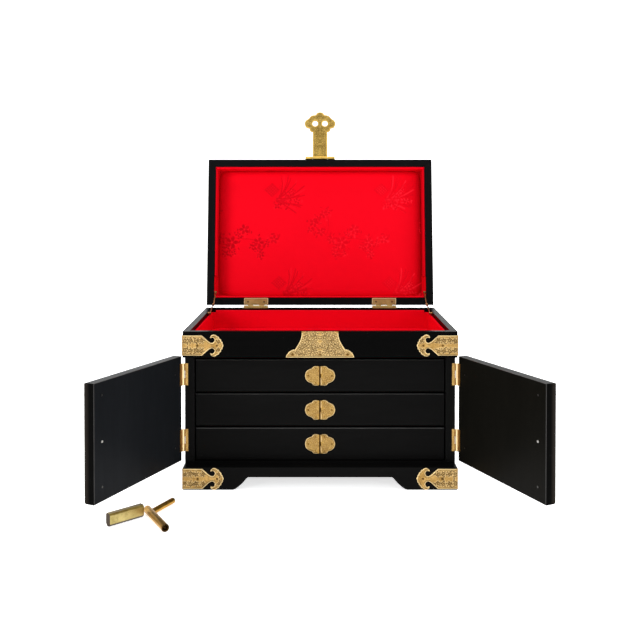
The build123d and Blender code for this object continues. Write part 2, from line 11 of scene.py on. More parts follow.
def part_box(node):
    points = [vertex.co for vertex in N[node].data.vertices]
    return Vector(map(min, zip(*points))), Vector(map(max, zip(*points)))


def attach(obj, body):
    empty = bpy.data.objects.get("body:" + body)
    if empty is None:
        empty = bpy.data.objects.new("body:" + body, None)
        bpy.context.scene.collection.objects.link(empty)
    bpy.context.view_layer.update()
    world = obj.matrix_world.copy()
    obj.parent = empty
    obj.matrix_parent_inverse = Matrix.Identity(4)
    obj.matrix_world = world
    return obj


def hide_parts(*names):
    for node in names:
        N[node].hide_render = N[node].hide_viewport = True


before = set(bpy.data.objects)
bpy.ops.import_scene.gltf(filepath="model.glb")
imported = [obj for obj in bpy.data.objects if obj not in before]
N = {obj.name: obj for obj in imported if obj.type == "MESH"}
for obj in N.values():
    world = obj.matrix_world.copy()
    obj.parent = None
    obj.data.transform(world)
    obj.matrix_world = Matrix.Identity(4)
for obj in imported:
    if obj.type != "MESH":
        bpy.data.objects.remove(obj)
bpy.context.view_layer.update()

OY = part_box("plinth_boards")[0][1]          # the case's front face, in metres

# ------------------------------------------------------------------ sizes, in millimetres, as in the CAD source
W, D = 356.0, 231.0
Z_BASE, Z_SEC, Z_RIM = 29.0, 172.0, 206.0
TRAY_WALL, LINE_T, LINE_DROP = 8.6, 3.0, 6.0
BACK_DROP, BACK_X = 2.8, 161.5
TRAY_FLOOR = Z_SEC + 2.4
Z_LID = Z_RIM + 1.6
LID_WALL, LID_H = 11.4, 30.0
LID_PY, LID_PZ = D + 2.6, Z_RIM + 0.8
LID_OPEN = 97.0
DOOR_OPEN = 114.0
PIV_X, PIV_Y = 180.35, 18.0
DOOR_Y0, DOOR_T = 0.2, 17.0
HASP_Y, HASP_Z, HASP_T = -3.4, Z_LID + 6.0, 2.6
HASP_TURN = 97.0
HOLE_S, HOLE_X, HOLE_D = 57.9, 7.9, 9.0
DR_Y, DR_H, DR_Z0 = 23.2, 42.6, (31.6, 76.9, 122.2)
DR_BX, DR_BACK, DR_WALL, DR_FT = 164.4, 218.0, 6.0, 10.0


def P(x, y, z):
    """A point of the CAD source, in millimetres, in the row frame, in metres."""
    return Vector((x / 1000.0, y / 1000.0 + OY, z / 1000.0))


def rot_about(centre, axis, deg):
    c = P(*centre)
    return Matrix.Translation(c) @ Matrix.Rotation(math.radians(deg), 4, axis) @ Matrix.Translation(-c)


LID_M = rot_about((0, LID_PY, LID_PZ), "X", -LID_OPEN)
HASP_M = LID_M @ rot_about((0, HASP_Y, HASP_Z), "X", -HASP_TURN)
DOOR_M = {s: rot_about((s * PIV_X, PIV_Y, 0), "Z", s * DOOR_OPEN) for s in (-1, 1)}
ONE = Matrix.Identity(4)


# ------------------------------------------------------------------ node material helpers
class Mat:
    def __init__(self, name):
        self.m = bpy.data.materials.new(name)
        self.m.use_nodes = True
        self.t = self.m.node_tree
        self.n, self.l = self.t.nodes, self.t.links
        self.b = self.n["Principled BSDF"]

    def node(self, kind, **kw):
        x = self.n.new(kind)
        for k, v in kw.items():
            setattr(x, k, v)
        return x

    def link(self, a, b):
        self.l.new(a, b)

    def coord(self, scale=(1, 1, 1)):
        c = self.node("ShaderNodeTexCoord")
        mp = self.node("ShaderNodeMapping")
        mp.inputs["Scale"].default_value = scale
        self.link(c.outputs["Object"], mp.inputs["Vector"])
        return mp.outputs["Vector"]

    def noise(self, vec, scale, detail=3.0, rough=0.5, dist=0.0):
        x = self.node("ShaderNodeTexNoise")
        x.inputs["Scale"].default_value = scale
        x.inputs["Detail"].default_value = detail
        x.inputs["Roughness"].default_value = rough
        x.inputs["Distortion"].default_value = dist
        if vec is not None:
            self.link(vec, x.inputs["Vector"])
        return x.outputs["Fac"]

    def ramp(self, fac, stops):
        x = self.node("ShaderNodeValToRGB")
        e = x.color_ramp.elements
        while len(e) < len(stops):
            e.new(0.5)
        for el, (pos, col) in zip(e, stops):
            el.position = pos
            el.color = (col[0], col[1], col[2], 1) if hasattr(col, "__len__") else (col, col, col, 1)
        self.link(fac, x.inputs["Fac"])
        return x.outputs["Color"]

    def mix(self, fac, a, b, blend="MIX"):
        x = self.node("ShaderNodeMix", data_type="RGBA", blend_type=blend)
        for sock, v in ((x.inputs[0], fac), (x.inputs[6], a), (x.inputs[7], b)):
            if hasattr(v, "is_output"):
                self.link(v, sock)
            elif hasattr(v, "__len__"):
                sock.default_value = (v[0], v[1], v[2], 1)
            else:
                sock.default_value = v
        return x.outputs[2]

    def math(self, op, a, b=0.0):
        x = self.node("ShaderNodeMath", operation=op)
        for sock, v in ((x.inputs[0], a), (x.inputs[1], b)):
            if hasattr(v, "is_output"):
                self.link(v, sock)
            else:
                sock.default_value = v
        return x.outputs[0]

    def attr(self, name):
        x = self.node("ShaderNodeAttribute", attribute_name=name)
        return x.outputs["Fac"]

    def bump(self, height, strength, dist, normal=None):
        x = self.node("ShaderNodeBump")
        x.inputs["Strength"].default_value = strength
        x.inputs["Distance"].default_value = dist
        self.link(height, x.inputs["Height"])
        if normal is not None:
            self.link(normal, x.inputs["Normal"])
        return x.outputs["Normal"]

    def set(self, **kw):
        names = {"color": "Base Color", "rough": "Roughness", "metal": "Metallic", "spec": "Specular IOR Level",
                 "normal": "Normal", "coat": "Coat Weight", "coat_rough": "Coat Roughness", "sheen": "Sheen Weight",
                 "sheen_rough": "Sheen Roughness", "ior": "IOR", "aniso": "Anisotropic"}
        for k, v in kw.items():
            s = self.b.inputs[names[k]]
            if hasattr(v, "is_output"):
                self.link(v, s)
            elif hasattr(v, "__len__"):
                s.default_value = (v[0], v[1], v[2], 1)
            else:
                s.default_value = v
        return self.m


def lacquer(name, tint=(0.0036, 0.0035, 0.0034), grain=(1, 1, 1), spec=0.022):
    """Black satin lacquer over wood: grain just shows through, slight cloudiness, dust specks."""
    m = Mat(name)
    v = m.coord(grain)
    cloud = m.noise(v, 14.0, 2.0)
    lines = m.noise(v, 160.0, 4.0, 0.65, 0.4)
    pores = m.noise(v, 900.0, 2.0, 0.5)
    base = m.mix(m.math("MULTIPLY", cloud, 0.8), tint, tuple(c * 2.1 for c in tint))
    base = m.mix(m.math("MULTIPLY", lines, 0.55), base, tuple(c * 0.4 for c in tint))
    rough = m.ramp(m.math("ADD", m.math("MULTIPLY", cloud, 0.6), m.math("MULTIPLY", lines, 0.4)),
                   [(0.25, 0.27), (0.8, 0.40)])
    nrm = m.bump(lines, 0.10, 0.0006)
    nrm = m.bump(pores, 0.06, 0.00025, nrm)
    return m.set(color=base, rough=rough, normal=nrm, spec=spec)


def door_edge(name):
    """Free edge of a door: painted shade beside the inner face, a brownish painted highlight over its outer half (its
    attribute runs 0 to 1).
    """
    m = Mat(name)
    lines = m.noise(m.coord((1, 1, 0.12)), 160.0, 4.0, 0.65, 0.4)
    base = m.mix(m.ramp(m.attr("edge_painted_light"), [(0.40, 0.0), (0.66, 1.0)]), (0.0009, 0.0009, 0.0008), (0.0205, 0.0165, 0.0135))
    base = m.mix(m.math("MULTIPLY", lines, 0.45), base, (0.0012, 0.0011, 0.0010))
    return m.set(color=base, rough=m.ramp(lines, [(0.25, 0.30), (0.8, 0.42)]), normal=m.bump(lines, 0.10, 0.0006), spec=0.014)


def brass(name, kind="plate"):
    """Antiqued brass. 'cav' is 1 in the engraved lines, 'hi' is 1 on a plate's rim and beside its engraved lines,
    painted paler: burnish and a painted highlight.
    """
    m = Mat(name)
    v = m.coord()
    big = m.noise(v, 90.0, 3.0)
    mid = m.noise(v, 330.0, 3.0, 0.6)
    fine = m.noise(v, 800.0, 4.0, 0.6)
    scratch = m.noise(m.coord((1, 1, 9)), 420.0, 2.0, 0.7)
    light, deep, dark, burnish_highlight_c, r0, r1 = {
        "plate": ((0.59, 0.365, 0.120), (0.36, 0.205, 0.056), (0.040, 0.018, 0.005), (0.97, 0.76, 0.40), 0.32, 0.50),
        "pull": ((0.46, 0.278, 0.068), (0.33, 0.180, 0.037), (0.080, 0.034, 0.008), (0.74, 0.56, 0.29), 0.30, 0.46),
        "hasp": ((0.94, 0.640, 0.158), (0.68, 0.430, 0.090), (0.150, 0.085, 0.018), (0.62, 0.43, 0.13), 0.32, 0.48),
        "block": ((0.52, 0.425, 0.175), (0.34, 0.27, 0.092), (0.10, 0.055, 0.02), (1.0, 0.84, 0.56), 0.30, 0.46),
        "olive": ((0.24, 0.175, 0.045), (0.13, 0.085, 0.022), (0.05, 0.028, 0.010), (0.6, 0.45, 0.2), 0.34, 0.50),
        "bright": ((1.0, 0.86, 0.56), (0.92, 0.74, 0.42), (0.30, 0.18, 0.06), (1.0, 0.84, 0.56), 0.26, 0.40),
        "grip": ((0.74, 0.53, 0.25), (0.56, 0.36, 0.13), (0.16, 0.08, 0.02), (1.0, 0.84, 0.56), 0.28, 0.42),
        "gold": ((0.60, 0.335, 0.058), (0.40, 0.205, 0.028), (0.045, 0.020, 0.005), (1.0, 0.78, 0.36), 0.30, 0.42),
        "leaf": ((0.50, 0.355, 0.125), (0.36, 0.235, 0.072), (0.08, 0.04, 0.012), (0.80, 0.64, 0.36), 0.36, 0.52),
        "shade": ((0.050, 0.028, 0.008), (0.026, 0.013, 0.004), (0.010, 0.005, 0.002), (0.3, 0.2, 0.1), 0.36, 0.50),
        "aged": ((0.20, 0.100, 0.024), (0.11, 0.052, 0.013), (0.020, 0.010, 0.004), (0.5, 0.3, 0.1), 0.40, 0.60),
    }[kind]
    base = m.mix(m.ramp(big, [(0.32, 0.0), (0.70, 1.0)]), light, deep)
    base = m.mix(m.ramp(mid, [(0.52, 0.0), (0.74, 0.55)]), base, tuple(c * 0.62 for c in deep))
    base = m.mix(m.ramp(fine, [(0.58, 0.0), (0.80, 0.6)]), base, tuple(c * 0.55 for c in deep))
    base = m.mix(m.math("MULTIPLY", m.attr("hi"), 0.72), base, burnish_highlight_c)
    base = m.mix(m.math("MULTIPLY", m.attr("cav"), 0.86), base, dark)
    rough = m.ramp(m.math("ADD", m.math("MULTIPLY", scratch, 0.5), m.math("MULTIPLY", fine, 0.5)), [(0.3, r0), (0.75, r1)])
    nrm = m.bump(fine, 0.22 if kind == "plate" else 0.06, 0.0003)
    nrm = m.bump(mid, 0.14 if kind in ("plate", "block") else 0.04, 0.0006, nrm)
    nrm = m.bump(scratch, 0.10, 0.0002, nrm)
    return m.set(color=base, rough=rough, metal=0.55 if kind == "leaf" else 1.0, normal=nrm)


def hinge_brass(name):
    """The door hinges: barrels painted paler as a highlight, painted shade in the crease on either side of them."""
    m = Mat(name)
    v = m.coord()
    sep = m.node("ShaderNodeSeparateXYZ")
    m.link(v, sep.inputs[0])
    dx = m.math("SUBTRACT", m.math("ABSOLUTE", sep.outputs[0]), PIV_X / 1000)
    dy = m.math("SUBTRACT", sep.outputs[1], PIV_Y / 1000 + OY)
    r = m.math("MULTIPLY", m.math("SQRT", m.math("ADD", m.math("MULTIPLY", dx, dx), m.math("MULTIPLY", dy, dy))), 200.0)
    fine = m.noise(v, 700.0, 4.0, 0.6)
    run = m.noise(m.coord((1, 1, 0.15)), 600.0, 3.0, 0.6)
    # barrels painted paler as a highlight, the creases beside them darker as painted shade
    barrel = m.ramp(r, [(0.0, 1.0), (0.424, 1.0), (0.432, 0.0)])
    crease_shade = m.ramp(r, [(0.424, 0.0), (0.432, 1.0), (0.53, 1.0), (0.64, 0.0)])
    base = m.mix(m.ramp(fine, [(0.40, 0.0), (0.75, 1.0)]), (0.44, 0.27, 0.085), (0.24, 0.13, 0.036))
    base = m.mix(m.ramp(run, [(0.45, 0.0), (0.70, 0.6)]), base, (0.22, 0.12, 0.035))
    base = m.mix(m.math("MULTIPLY", barrel, 0.85), base, (0.96, 0.70, 0.38))
    base = m.mix(m.math("MULTIPLY", crease_shade, 0.9), base, (0.075, 0.035, 0.010))
    rough = m.ramp(fine, [(0.3, 0.26), (0.75, 0.42)])
    return m.set(color=base, rough=rough, metal=1.0, normal=m.bump(fine, 0.15, 0.0003))


def steel(name):
    """Small nail heads on the doors' inner faces: the middle ones pale, the others dark."""
    m = Mat(name)
    v = m.coord()
    sep = m.node("ShaderNodeSeparateXYZ")
    m.link(v, sep.inputs[0])
    off = m.math("MULTIPLY", m.math("ABSOLUTE", m.math("SUBTRACT", sep.outputs[2], 0.1019)), 100.0)
    fine = m.noise(v, 900.0, 3.0, 0.6)
    base = m.mix(m.ramp(off, [(0.25, 0.0), (0.5, 1.0)]), (0.82, 0.80, 0.76), (0.075, 0.072, 0.070))
    base = m.mix(m.ramp(fine, [(0.5, 0.0), (0.8, 0.5)]), base, (0.05, 0.045, 0.04))
    return m.set(color=base, rough=m.ramp(fine, [(0.3, 0.30), (0.7, 0.5)]), metal=1.0, normal=m.bump(fine, 0.2, 0.0002))


def copper(name):
    m = Mat(name)
    v = m.coord()
    big, fine = m.noise(v, 160.0, 3.0), m.noise(m.coord((1, 6, 1)), 500.0, 3.0)
    base = m.mix(m.ramp(big, [(0.3, 0.0), (0.7, 1.0)]), (0.42, 0.185, 0.070), (0.20, 0.085, 0.032))
    rough = m.ramp(fine, [(0.3, 0.26), (0.7, 0.44)])
    return m.set(color=base, rough=rough, metal=1.0, normal=m.bump(fine, 0.12, 0.0002))


def brocade(name):
    """Red satin with flowers woven in the same red. 'motif' is 1 on their shaded threads and 'lite' on their raised
    ones;
    the flowers go from darker than the ground at the left to lighter at the right, a painted sheen set by position, and
    a painted shadow darkens the ground where its attribute is set."""
    m = Mat(name)
    v = m.coord()
    w1 = m.node("ShaderNodeTexWave", wave_type="BANDS", bands_direction="X", wave_profile="SIN")
    w1.inputs["Scale"].default_value = 520.0
    w1.inputs["Distortion"].default_value = 0.6
    w1.inputs["Detail"].default_value = 1.0
    m.link(v, w1.inputs["Vector"])
    w2 = m.node("ShaderNodeTexWave", wave_type="BANDS", bands_direction="Z", wave_profile="SIN")
    w2.inputs["Scale"].default_value = 380.0
    w2.inputs["Distortion"].default_value = 0.8
    m.link(v, w2.inputs["Vector"])
    weave = m.math("MULTIPLY", m.math("ADD", w1.outputs["Fac"], w2.outputs["Fac"]), 0.5)
    slub = m.noise(m.coord((1, 1, 14)), 120.0, 3.0, 0.6)
    cloud = m.noise(v, 18.0, 3.0)
    motif, lite = m.attr("motif"), m.attr("lite")
    sep = m.node("ShaderNodeSeparateXYZ")
    m.link(v, sep.inputs[0])
    # painted sheen: the flowers' darkening and lightening change with position across the cloth
    across = m.ramp(m.math("ADD", m.math("MULTIPLY", sep.outputs[0], 2.6), 0.5), [(0.08, 0.0), (0.92, 1.0)])
    sheen_dark_k = m.ramp(across, [(0.0, 0.90), (0.5, 0.40), (1.0, 0.16)])
    sheen_lite_k = m.ramp(across, [(0.0, 0.10), (0.5, 0.25), (1.0, 0.75)])
    base = m.mix(m.math("MULTIPLY", cloud, 0.6), (0.790, 0.0009, 0.0108), (0.715, 0.0006, 0.0085))
    base = m.mix(m.math("MULTIPLY", weave, 0.14), base, (0.60, 0.0005, 0.0060))
    base = m.mix(m.math("MULTIPLY", slub, 0.10), base, (0.88, 0.0030, 0.0160))
    # painted shadow: darkens the ground along the lid pad's edges and on the lid's side boards
    base = m.mix(m.math("MULTIPLY", m.attr("painted_shadow"), 1.0), base, (0.30, 0.0002, 0.0040))
    base = m.mix(m.math("MULTIPLY", motif, sheen_dark_k), base, (0.34, 0.0004, 0.0045))
    base = m.mix(m.math("MULTIPLY", lite, sheen_lite_k), base, (1.0, 0.022, 0.045))
    rough = m.ramp(m.math("ADD", m.math("MULTIPLY", motif, 0.5), m.math("MULTIPLY", weave, 0.3)), [(0.0, 0.62), (0.7, 0.44)])
    nrm = m.bump(weave, 0.16, 0.00025)
    nrm = m.bump(motif, 0.45, 0.0004, nrm)
    return m.set(color=base, rough=rough, normal=nrm, spec=0.03)


def raw_wood(name):
    """Dark stained board inside the case and under the drawers' lining."""
    m = Mat(name)
    v = m.coord((1, 8, 8))
    a, b = m.noise(v, 60.0, 5.0, 0.6, 0.8), m.noise(v, 420.0, 3.0)
    base = m.mix(m.ramp(a, [(0.3, 0.0), (0.7, 1.0)]), (0.022, 0.016, 0.012), (0.055, 0.034, 0.022))
    base = m.mix(m.math("MULTIPLY", b, 0.3), base, (0.012, 0.009, 0.007))
    return m.set(color=base, rough=m.ramp(b, [(0.3, 0.55), (0.7, 0.74)]), normal=m.bump(a, 0.15, 0.0005), spec=0.3)


LACQ_X = lacquer("lacquer_long", grain=(0.12, 1, 1))
LACQ_Z = lacquer("lacquer_upright", grain=(1, 1, 0.12))
TRAY_X = lacquer("lacquer_tray_long", (0.0012, 0.0012, 0.0012), (0.12, 1, 1), 0.018)
TRAY_Y = lacquer("lacquer_tray_deep", (0.0012, 0.0012, 0.0012), (1, 0.12, 1), 0.018)
LID_X = lacquer("lacquer_lid_long", (0.0042, 0.0043, 0.0046), (0.12, 1, 1))
LID_Z = lacquer("lacquer_lid_upright", (0.0042, 0.0043, 0.0046), (1, 1, 0.12))
# the two doors are lit and shaded copies of one lacquer: the left one is paler and bluish as a painted sheen, the right
# one darker and warmer
DOOR_L_SHEEN = lacquer("lacquer_door", (0.0070, 0.0077, 0.0089), (1, 1, 0.12), 0.026)
DOOR_R = lacquer("lacquer_door_right", (0.0040, 0.0037, 0.0029), (1, 1, 0.12), 0.022)
# the doors' free edges: painted shade next to the inner face and a painted highlight over the outer half
DOOR_EDGE_PAINTED = door_edge("lacquer_door_edge_painted_light")
# paler lacquers for the doors' inner rounding (grey) and outer rounding (brownish): painted highlights
DOOR_INNER_HIGHLIGHT = lacquer("lacquer_worn_door", (0.030, 0.029, 0.028), (0.3, 0.3, 0.3), 0.18)
DOOR_OUTER_HIGHLIGHT = lacquer("lacquer_door_outer_painted_highlight", (0.0095, 0.0080, 0.0064), (1, 1, 0.12), 0.03)
# paler lacquer on the drawers' upper chamfers: painted highlight
TOP_EDGE_HIGHLIGHT = lacquer("lacquer_top_edge_painted_highlight", (0.050, 0.049, 0.048), (0.3, 0.3, 0.3), 0.30)
# paler lacquer on the bevelled edges of the plinth and tray walls: wear and a painted highlight
EDGE_WEAR_HIGHLIGHT = lacquer("lacquer_edge_wear_and_highlight", (0.016, 0.016, 0.016), (0.3, 0.3, 0.3), 0.12)
BRASS = brass("brass_engraved")
BRASS_B = brass("brass_block", "block")
BRASS_G = brass("brass_gold", "gold")
BRASS_D = brass("brass_aged", "aged")
# darker brass for the padlock's upper face (painted shade) and bright brass for its bevels (painted highlight)
BRASS_TOP_SHADE = brass("brass_olive_painted_shade", "olive")
BRASS_EDGE_HIGHLIGHT = brass("brass_painted_highlight", "bright")
# a paler copy of the pulls' brass for the grip bars: painted highlight
BRASS_GRIP_HIGHLIGHT = brass("brass_grip_painted_highlight", "grip")
BRASS_P = brass("brass_pull", "pull")
BRASS_E = brass("brass_shaded_edge", "shade")
BRASS_S = brass("brass_strap", "hasp")
BRASS_L = brass("brass_lid_hinge", "leaf")
HINGE = hinge_brass("brass_hinge")
STEEL = steel("nail_heads")
COPPER = copper("copper_stay")
RED = brocade("red_brocade")
INSIDE = raw_wood("dark_inside")


def paint(obj, material):
    obj.data.materials.clear()
    obj.data.materials.append(material)
    for p in obj.data.polygons:
        p.material_index = 0
    return obj


def soften(obj, width, segments=3, angle=35.0, edge=None):
    """Rounds a CAD node's edges with modifiers; its own vertices stay as they are."""
    if edge is not None:
        obj.data.materials.append(edge)
    d = obj.modifiers.new("flat", "DECIMATE")
    d.decimate_type = "DISSOLVE"
    d.angle_limit = math.radians(1.0)
    b = obj.modifiers.new("edge", "BEVEL")
    b.width = width / 1000.0
    b.segments = segments
    b.limit_method = "ANGLE"
    b.angle_limit = math.radians(angle)
    b.harden_normals = False
    b.use_clamp_overlap = True
    if edge is not None:
        b.material = len(obj.data.materials) - 1
    return obj


def shade(obj, angle=30.0):
    for p in obj.data.polygons:
        p.use_smooth = True
    obj.data.set_sharp_from_angle(angle=math.radians(angle))
    return obj


def new_obj(name, verts, faces, material, smooth_angle=30.0, attrs=None):
    me = bpy.data.meshes.new(name)
    me.from_pydata([tuple(v) for v in verts], [], [tuple(f) for f in faces])
    me.update()
    bm = bmesh.new()
    bm.from_mesh(me)
    bmesh.ops.recalc_face_normals(bm, faces=bm.faces)
    bm.to_mesh(me)
    bm.free()
    o = bpy.data.objects.new(name, me)
    bpy.context.scene.collection.objects.link(o)
    me.materials.append(material)
    for k, vals in (attrs or {}).items():
        a = me.attributes.new(k, "FLOAT", "POINT")
        a.data.foreach_set("value", np.asarray(vals, dtype=np.float32))
    if smooth_angle:
        for p in me.polygons:
            p.use_smooth = True
        me.set_sharp_from_angle(angle=math.radians(smooth_angle))
    return o


# ------------------------------------------------------------------ plane geometry in millimetres
def smooth_pts(pts, n=4):
    out = []
    m = len(pts)
    for i in range(m - 1):
        p0 = pts[i - 1] if i else pts[0]
        p1, p2 = pts[i], pts[i + 1]
        p3 = pts[i + 2] if i + 2 < m else pts[-1]
        for k in range(n):
            t = k / n
            out.append(tuple(
                0.5 * (2 * b + (c - a) * t + (2 * a - 5 * b + 4 * c - d) * t * t + (3 * b - a - 3 * c + d) * t ** 3)
                for a, b, c, d in zip(p0, p1, p2, p3)))
    out.append(tuple(float(v) for v in pts[-1]))
    return out


def chain(*runs):
    pts = []
    for run in runs:
        for p in run:
            if not pts or abs(p[0] - pts[-1][0]) + abs(p[1] - pts[-1][1]) > 1e-6:
                pts.append(p)
    return pts


def mirror_half(half):
    pts = list(half)
    for p in [(-x, y) for x, y in reversed(half)]:
        if abs(p[0] - pts[-1][0]) + abs(p[1] - pts[-1][1]) > 1e-6:
            pts.append(p)
    if abs(pts[0][0] - pts[-1][0]) + abs(pts[0][1] - pts[-1][1]) < 1e-6:
        pts.pop()
    return pts


def resample(loop, step):
    """The closed loop with extra points so that no edge is longer than step."""
    out = []
    for a, b in zip(loop, loop[1:] + loop[:1]):
        L = math.hypot(b[0] - a[0], b[1] - a[1])
        k = max(1, int(math.ceil(L / step)))
        out += [(a[0] + (b[0] - a[0]) * i / k, a[1] + (b[1] - a[1]) * i / k) for i in range(k)]
    return out


def seg_dist(pts, loop, closed=True):
    """Distance of each point from a polyline."""
    a = np.asarray(loop, dtype=np.float64)
    b = np.roll(a, -1, axis=0) if closed else a[1:]
    a = a if closed else a[:-1]
    best = np.full(len(pts), 1e9)
    for i in range(len(a)):
        d = b[i] - a[i]
        L2 = max(d @ d, 1e-12)
        t = np.clip(((pts - a[i]) @ d) / L2, 0, 1)
        q = pts - a[i] - t[:, None] * d
        best = np.minimum(best, np.hypot(q[:, 0], q[:, 1]))
    return best


def inside(pts, loop):
    x, y = pts[:, 0], pts[:, 1]
    res = np.zeros(len(pts), dtype=bool)
    n = len(loop)
    for i in range(n):
        x1, y1 = loop[i]
        x2, y2 = loop[(i + 1) % n]
        if y1 == y2:
            continue
        c = ((y1 > y) != (y2 > y)) & (x < (x2 - x1) * (y - y1) / (y2 - y1) + x1)
        res ^= c
    return res


def smoothstep(a, b, x):
    t = np.clip((x - a) / (b - a), 0, 1)
    return t * t * (3 - 2 * t)


def scrolls(loop, holes, seed, spacing=6.4, mirror=None, size=2.6):
    """Engraved foliage: curled tendrils with leaf veins, as polylines inside the loop."""
    rnd = random.Random(seed)
    a = np.asarray(loop)
    lo, hi = a.min(axis=0), a.max(axis=0)
    lines = []
    rows = int((hi[1] - lo[1]) / (spacing * 0.86)) + 2
    cols = int((hi[0] - lo[0]) / spacing) + 2
    spots = []
    for r in range(rows):
        for c in range(cols):
            spots.append((lo[0] + (c + 0.5 * (r % 2)) * spacing + rnd.uniform(-0.7, 0.7),
                          lo[1] + (r + 0.25) * spacing * 0.86 + rnd.uniform(-0.6, 0.6)))
    if mirror is not None:
        ax = mirror
        half = [s for s in spots if s[ax] >= 0.8]
        spots = half
    pts = np.asarray(spots)
    ok = inside(pts, loop) & (seg_dist(pts, loop) > 1.9)
    for h in holes:
        ok &= ~inside(pts, h) & (seg_dist(pts, h) > 1.8)
    for p, good in zip(spots, ok):
        if not good:
            continue
        s = size * rnd.uniform(0.85, 1.15)
        th0 = rnd.uniform(0, 2 * math.pi)
        turn = rnd.choice((-1, 1))
        curl = []
        for k in range(22):
            t = k / 21
            r = s * (1.0 - 0.80 * t)
            th = th0 + turn * t * 2.35 * math.pi
            curl.append((p[0] + r * math.cos(th), p[1] + r * math.sin(th)))
        tail_dir = th0 - turn * math.pi / 2
        tail = [(curl[0][0] + math.cos(tail_dir + turn * 0.35 * k) * 0.75 * k, curl[0][1] + math.sin(tail_dir + turn * 0.35 * k) * 0.75 * k)
                for k in range(4, 0, -1)]
        lines.append((tail + curl, 0.30))
        for k in range(5):            # veins outside the curl
            th = th0 + turn * (0.35 + 0.36 * k) * math.pi
            r0, r1 = s * 1.12, s * (1.45 + 0.12 * math.sin(3 * k))
            lines.append(([(p[0] + r0 * math.cos(th), p[1] + r0 * math.sin(th)),
                           (p[0] + (r0 + r1) / 2 * math.cos(th + turn * 0.13), p[1] + (r0 + r1) / 2 * math.sin(th + turn * 0.13)),
                           (p[0] + r1 * math.cos(th + turn * 0.34), p[1] + r1 * math.sin(th + turn * 0.34))], 0.24))
    if mirror is not None:
        flipped = []
        for pl, w in lines:
            flipped.append(([(-x, y) if mirror == 0 else (x, -y) for x, y in pl], w))
        lines += flipped
    return lines


